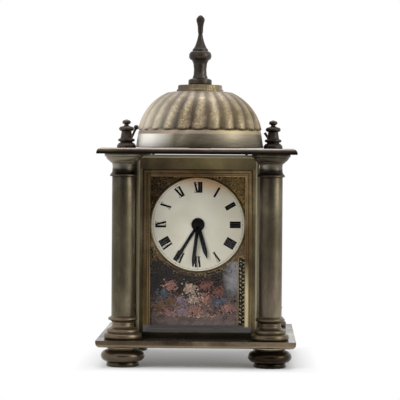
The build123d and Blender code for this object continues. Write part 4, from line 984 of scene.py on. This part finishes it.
def minute_track():
    """Sixty fine marks near the rim, on a thin line."""
    put_down()
    marks = [stroke(minute / 5, (0, 22.55), (0, 23.05), 0.32 if minute % 5 == 0 else 0.12, 0.03)
             for minute in range(60)]
    line = dial_disc(23.15, 180, DIAL_FACE - 0.03)
    open_mesh()
    inset(0.12)
    bpy.ops.mesh.delete(type="FACE")
    bpy.ops.mesh.select_all(action="SELECT")
    pull(0, 0.03, 0)
    close_mesh()
    give(settle(join_up("minute_track", [*marks, line])), grey_print)


numerals()
minute_track()


def hand(name, outline, angle, boss, node, body):
    """A hand cut from flat strip: its right half is drawn point by point, then mirrored and thickened."""
    thick = 0.28
    put_down()
    bpy.ops.mesh.primitive_plane_add(size=2, location=(0, 0, 0))
    piece = bpy.context.object
    open_mesh()
    bpy.ops.mesh.merge(type="CENTER")
    bpy.ops.mesh.select_all(action="SELECT")
    x, z = outline[0]
    bpy.ops.transform.translate(value=mm(x, 0, z))
    for new_x, new_z in [*outline[1:], *[(-x, z) for x, z in reversed(outline)]]:
        bpy.ops.mesh.extrude_vertices_move(TRANSFORM_OT_translate={"value": mm(new_x - x, 0, new_z - z)})
        x, z = new_x, new_z
    bpy.ops.mesh.select_all(action="SELECT")
    bpy.ops.mesh.remove_doubles(threshold=1e-6)
    bpy.ops.mesh.edge_face_add()
    pull(0, thick, 0)
    close_mesh()
    bpy.ops.mesh.primitive_cylinder_add(
        vertices=48, radius=boss * MM, depth=thick * MM, location=mm(0, thick / 2, 0), rotation=FACING
    )
    whole = join_up(name, [piece, bpy.context.object])
    whole.rotation_euler = (0, math.radians(angle), 0)
    whole.location = mm(0, extent(node)[0][1], DIAL_Z)
    settle(whole)
    ease_edges(whole, 0.06, 2, 40)
    give(whole, black_enamel, body, stands_for=(node,))


hand("shaped_hour_hand", [(0.95, 0), (1.0, 3.0), (1.15, 13.4), (1.05, 14.6), (0.12, 18.1)], 164.4, 2.9,
     "hour_hand", "hour_wheel")
hand("shaped_minute_hand", [(0.75, 0), (0.86, 4.0), (1.0, 17.4), (0.9, 18.8), (0.25, 21.85)], 186.4, 2.3,
     "minute_hand", "minute_arbor")
hand("shaped_alarm_hand", [(0.74, 0), (0.8, 14.6), (0.98, 15.1), (0.98, 20.0), (0.6, 21.3)], 211.6, 3.4,
     "alarm_hand", "alarm_disc")


# The painted panel
def brush_mark(shape, x, z, size, lean, colour, layer):
    """A copied mark of paint in its own colour, in one of the thin layers before the panel."""
    mark = stamp(shape, (x, PANEL_FACE - 0.012 * layer, z), math.radians(lean), (size, 0.012, size))
    tint = mark.data.attributes.new("tint", "FLOAT_COLOR", "POINT")
    tint.data.foreach_set("color", [*colour, 1] * len(mark.data.vertices))
    return mark


def petal_shape(long, name):
    """A rounded mark one unit wide, longer than wide, and narrowed toward its foot."""
    put_down()
    bpy.ops.mesh.primitive_cylinder_add(vertices=12, radius=0.5, depth=1.0, rotation=FACING)
    shape = bpy.context.object
    shape.name = name
    bpy.ops.object.transform_apply()
    open_mesh()
    choose(shape, lambda co: co.z < -0.2)
    bpy.ops.transform.resize(value=(0.45, 1, 1.1), center_override=(0, 0, 0))
    bpy.ops.mesh.select_all(action="SELECT")
    bpy.ops.transform.resize(value=(1, 1, long), center_override=(0, 0, 0))
    close_mesh()
    return shape


PANEL_LEFT, PANEL_RIGHT = SIGHT_LEFT, extent("picture_panel")[1][0]
CLEAR_RADIUS = 27.4
BLOSSOM_TINTS = {
    "rose": (srgb(222, 172, 156), srgb(132, 82, 74)), "lilac": (srgb(196, 172, 186), srgb(116, 94, 108)),
    "cream": (srgb(236, 214, 192), srgb(150, 122, 104)), "ochre": (srgb(170, 128, 84), srgb(92, 62, 40)),
    "slate": (srgb(124, 138, 156), srgb(58, 64, 78)), "brick": (srgb(170, 114, 96), srgb(92, 54, 46)),
}


def on_panel(x, z, margin):
    inside = PANEL_LEFT + margin < x < PANEL_RIGHT - margin and SIGHT_BOTTOM + margin - 0.5 < z
    return inside and math.hypot(x, z - DIAL_Z) > CLEAR_RADIUS + margin


def blended(tint, share):
    """A blossom's colour, from its deep tint at 0 to its pale one at 1."""
    pale, deep = BLOSSOM_TINTS[tint]
    return [p * share + d * (1 - share) for p, d in zip(pale, deep)]


def rosette(petal, x, z, size, tint):
    """One blossom: rings of petals, lit from the left, round a small ochre heart."""
    marks = []
    for ring, (count, reach) in enumerate(((11, 1.0), (8, 0.66), (5, 0.32))):
        for index in range(count):
            lean = 360 * index / count + chance.uniform(-14, 14) + ring * 20
            turn = math.radians(lean)
            away = size * reach * chance.uniform(0.5, 0.7)
            shade = chance.uniform(0.0, 0.75) * (1.0 if math.sin(turn - 0.6) < 0.4 else 0.45)
            marks.append(brush_mark(petal, x + away * math.sin(turn), z + away * math.cos(turn),
                                    size * 0.5 * (1 - 0.15 * ring), lean, blended(tint, shade), 3 + ring))
    marks.append(brush_mark(petal, x, z, size * 0.2, 0, srgb(150, 118, 62), 6))
    return marks


def painted_garden():
    """Leaves, then drifts of blossom over a stone ledge, each built of separate marks."""
    petal, leaf = petal_shape(1.3, "petal"), petal_shape(2.6, "leaf")
    marks = []
    greens = [srgb(40, 31, 23), srgb(56, 44, 29), srgb(24, 18, 14), srgb(80, 60, 36), srgb(38, 37, 34)]
    for _ in range(430):
        x = chance.uniform(PANEL_LEFT, PANEL_RIGHT)
        z = SIGHT_BOTTOM + chance.uniform(5.0, 30.0)
        open_sky = x > 12.5 and SIGHT_BOTTOM + 15 < z < SIGHT_BOTTOM + 27 and chance.random() < 0.85
        if on_panel(x, z, 0.6) and not open_sky:
            marks.append(brush_mark(leaf, x, z, chance.uniform(0.35, 0.8), chance.uniform(-90, 90),
                                    chance.choice(greens), 1))
    drifts = [
        (-18.0, 15.5, 3.2, 2.2, "slate"), (-20.0, 8.6, 2.6, 1.8, "ochre"), (-17.0, 6.4, 3.0, 1.2, "rose"),
        (-14.0, 19.4, 2.4, 2.0, "rose"), (-13.6, 12.0, 3.4, 2.4, "ochre"), (-7.6, 11.4, 3.4, 2.8, "lilac"),
        (-4.0, 18.4, 2.6, 2.2, "cream"), (-1.6, 13.2, 3.0, 3.0, "cream"), (-0.6, 7.4, 3.2, 1.8, "rose"),
        (3.8, 19.6, 2.4, 2.0, "brick"), (5.2, 12.8, 3.2, 2.6, "rose"), (10.8, 17.2, 2.4, 2.0, "brick"),
        (11.4, 11.6, 2.8, 2.2, "slate"), (15.4, 8.6, 2.4, 2.0, "rose"), (-8.4, 6.6, 3.0, 1.6, "lilac"),
    ]
    for x, rise, wide, tall, tint in drifts:
        z = SIGHT_BOTTOM + rise
        for _ in range(110):
            colour = blended(tint, chance.uniform(0.0, 0.85))
            marks.append(brush_mark(petal, x + chance.gauss(0, wide * 0.72), z + chance.gauss(0, tall * 0.68),
                                    chance.uniform(0.3, 0.75), chance.uniform(-90, 90), colour, 2))
        for _ in range(3):
            marks += rosette(petal, x + chance.uniform(-0.6, 0.6) * wide, z + chance.uniform(-0.6, 0.6) * tall,
                             chance.uniform(0.9, 1.4), tint)
    for _ in range(110):
        x = chance.gauss(-1.5, 6.0)
        z = SIGHT_BOTTOM + 4.6 + chance.gauss(0, 0.6)
        colour = blended(chance.choice(("rose", "cream", "brick")), 0.6)
        marks.append(brush_mark(petal, x, z, chance.uniform(0.3, 0.8), chance.uniform(60, 120), colour, 2))
    piece = settle(join_up("painted_garden", marks))
    for shape in (petal, leaf):
        bpy.data.objects.remove(shape)
    give(piece, brush_paint, smooth=40)


painted_garden()


# Gilt ornament on the dial plate
def garland_band():
    """A flat gilt band under the dial, cut off at the sides of the sight."""
    put_down()
    piece = dial_disc(26.6, 160, PANEL_FACE - 0.02)
    bpy.ops.object.transform_apply()
    open_mesh()
    for width, sink in ((0.3, 0.0), (0.05, 0.12), (0.9, 0.0), (0.05, -0.12), (0.7, 0.0)):
        inset(width, sink)
    bpy.ops.mesh.delete(type="FACE")
    for place, outward in (((-SIGHT_RIGHT, 0, 0), (-1, 0, 0)), ((SIGHT_RIGHT, 0, 0), (1, 0, 0)),
                           ((0, 0, DIAL_Z), (0, 0, 1))):
        bpy.ops.mesh.select_all(action="SELECT")
        bpy.ops.mesh.bisect(plane_co=mm(*place), plane_no=outward, clear_outer=True)
    close_mesh()
    thick = piece.modifiers.new("thick", "SOLIDIFY")
    thick.thickness = 0.1 * MM
    thick.offset = -1
    pick_up(piece)
    bpy.ops.object.modifier_apply(modifier=thick.name)
    piece.name = "dial_garland"
    give(settle(piece), garland_gilt, smooth=20)


def garland_leaves():
    """Small gilt leaves along the lower arc of the dial."""
    leaf = petal_shape(1.8, "garland_leaf")
    leaves = []
    for _ in range(180):
        turn = math.radians(chance.uniform(95, 265))
        away = 24.6 + abs(chance.gauss(0, 1.4))
        x, z = away * math.sin(turn), DIAL_Z + away * math.cos(turn)
        if SIGHT_LEFT + 0.8 < x < PANEL_RIGHT - 0.5:
            lean = turn + math.radians(chance.choice((-55, 55)) + chance.uniform(-20, 20))
            size = chance.uniform(0.22, 0.42)
            leaves.append(stamp(leaf, (x, PANEL_FACE - 0.16, z), lean, (size, 0.08, size)))
    whole = settle(join_up("garland_leaves", leaves))
    bpy.data.objects.remove(leaf)
    give(whole, bright_gilt, smooth=30)


def leaf_border():
    """The border at the right of the panel: pairs of leaves up a stem, on a dark strip between gilt lines."""
    leaf = petal_shape(2.0, "border_leaf")
    pieces = []
    middle = (PANEL_RIGHT + SIGHT_RIGHT) / 2 + 0.35
    half = middle - PANEL_RIGHT - 0.15
    foot, top = SIGHT_BOTTOM - 0.6, DIAL_Z - 17.0
    level = SIGHT_BOTTOM - 0.3
    while level < top:
        for side in (-1, 1):
            aside, rise = chance.uniform(0.5, 1.0), 0.5 * side + chance.uniform(-0.35, 0.35)
            lean = math.radians(side * chance.uniform(10, 80))
            size = chance.uniform(0.45, 0.86)
            place = (middle + side * aside, PLATE_FACE - 0.12, level + rise)
            pieces.append(stamp(leaf, place, lean, (size, 0.1, size)))
        level += 2.1
    for x in (middle - half, middle + half):
        pieces.append(block((x - 0.09, PLATE_FACE - 0.17, foot), (x + 0.09, PLATE_FACE - 0.03, top)))
    piece = settle(join_up("leaf_border", pieces))
    bpy.data.objects.remove(leaf)
    give(piece, bright_gilt, smooth=30)
    strip = settle(block((middle - half, PLATE_FACE - 0.04, foot), (middle + half, PLATE_FACE, top)))
    strip.name = "border_strip"
    give(strip, black_enamel)


garland_band()
garland_leaves()
leaf_border()


# Floor, light and camera
def seen_rays(tree):
    """One for rays straight from the camera, mirrored or through glass, and nought for the rest."""
    path = tree.nodes.new("ShaderNodeLightPath").outputs
    seen = reckon("MAXIMUM", path["Is Camera Ray"], path["Is Glossy Ray"])
    return reckon("MAXIMUM", seen, path["Is Transmission Ray"])


def floor_finish():
    """Pale paper that keeps the shadow near the clock and runs out into white."""
    finish, shader, place = nodes_of("pale_floor")
    tree = finish.node_tree
    feed(shader, {"Base Color": (0.8, 0.8, 0.8), "Roughness": 0.7})
    across, depth, height = axes_of(finish)
    away = reckon("MAXIMUM", reckon("ABSOLUTE", across), reckon("ABSOLUTE", depth))
    fade = reckon("MAXIMUM", between(depth, -46, 40, 0.05, 0.34), between(away, 43, 62))
    white = tree.nodes.new("ShaderNodeEmission")
    white.inputs["Strength"].default_value = 1.0
    mix = tree.nodes.new("ShaderNodeMixShader")
    feed(mix, {0: product(fade, seen_rays(tree)), 1: shader.outputs[0], 2: white.outputs[0]})
    tree.links.new(mix.outputs[0], tree.nodes["Material Output"].inputs["Surface"])
    return finish


def dark_room():
    """A dark screen far behind the camera, which only the metal and the glass mirror."""
    finish, shader, place = nodes_of("dark_screen")
    feed(shader, {"Base Color": (0.02, 0.02, 0.022), "Roughness": 0.9})
    put_down()
    bpy.ops.mesh.primitive_plane_add(size=1, location=(0.1, -1.35, 0.35), rotation=FACING)
    screen = bpy.context.object
    screen.name = "dark_screen"
    bpy.ops.transform.resize(value=(1.5, 1, 0.9))
    bpy.ops.object.transform_apply()
    screen.data.materials.append(finish)
    screen.visible_camera = False
    screen.visible_diffuse = False
    screen.visible_shadow = False
    screen.visible_transmission = False
    return screen


def lamp(name, place, aim, size, power):
    """A square lamp at a place, turned to an aim, all in metres and watts."""
    put_down()
    bpy.ops.object.light_add(type="AREA", location=place)
    light = bpy.context.object
    light.name = name
    light.data.shape = "SQUARE"
    light.data.size = size
    light.data.energy = power
    reach = [a - b for a, b in zip(aim, place)]
    flat = math.hypot(reach[0], reach[1])
    light.rotation_euler = (math.atan2(flat, -reach[2]), 0, math.atan2(-reach[0], reach[1]))
    return light


put_down()
bpy.ops.mesh.primitive_plane_add(size=6, location=(0, 0, 0))
floor = bpy.context.object
floor.name = "floor"
floor.data.materials.append(floor_finish())
dark_room()

world = bpy.data.worlds.new("studio")
bpy.context.scene.world = world
world.use_nodes = True
sky = world.node_tree
seen = seen_rays(sky)
sky.nodes["Background"].inputs["Color"].default_value = (1, 1, 1, 1)
sky.links.new(ranged(seen, 0, 1, 0.6, 1.0), sky.nodes["Background"].inputs["Strength"])

key = lamp("key", (-0.75, -0.7, 0.8), (0, 0, 0.08), 0.6, 9.0)
key.visible_glossy = False
lamp("fill", (0.95, -0.45, 0.45), (0, 0, 0.08), 0.5, 3.6)
lamp("top", (0.0, 0.3, 1.0), (0, 0, 0.1), 0.6, 4.0)

camera_data = bpy.data.cameras.new("camera")
camera = bpy.data.objects.new("camera", camera_data)
bpy.context.collection.objects.link(camera)
camera_data.lens = 162.0
camera_data.sensor_width = 36.0
camera_data.clip_start = 0.01
camera.location = (0.0267, -0.9426, 0.1067)
camera.rotation_mode = "QUATERNION"
look = Euler((math.radians(90 - 1.43), 0, math.radians(1.6))).to_quaternion()
camera.rotation_quaternion = look @ Quaternion((0, 0, 1), math.radians(0.4))
bpy.context.scene.camera = camera
bpy.context.scene.view_settings.view_transform = "Standard"
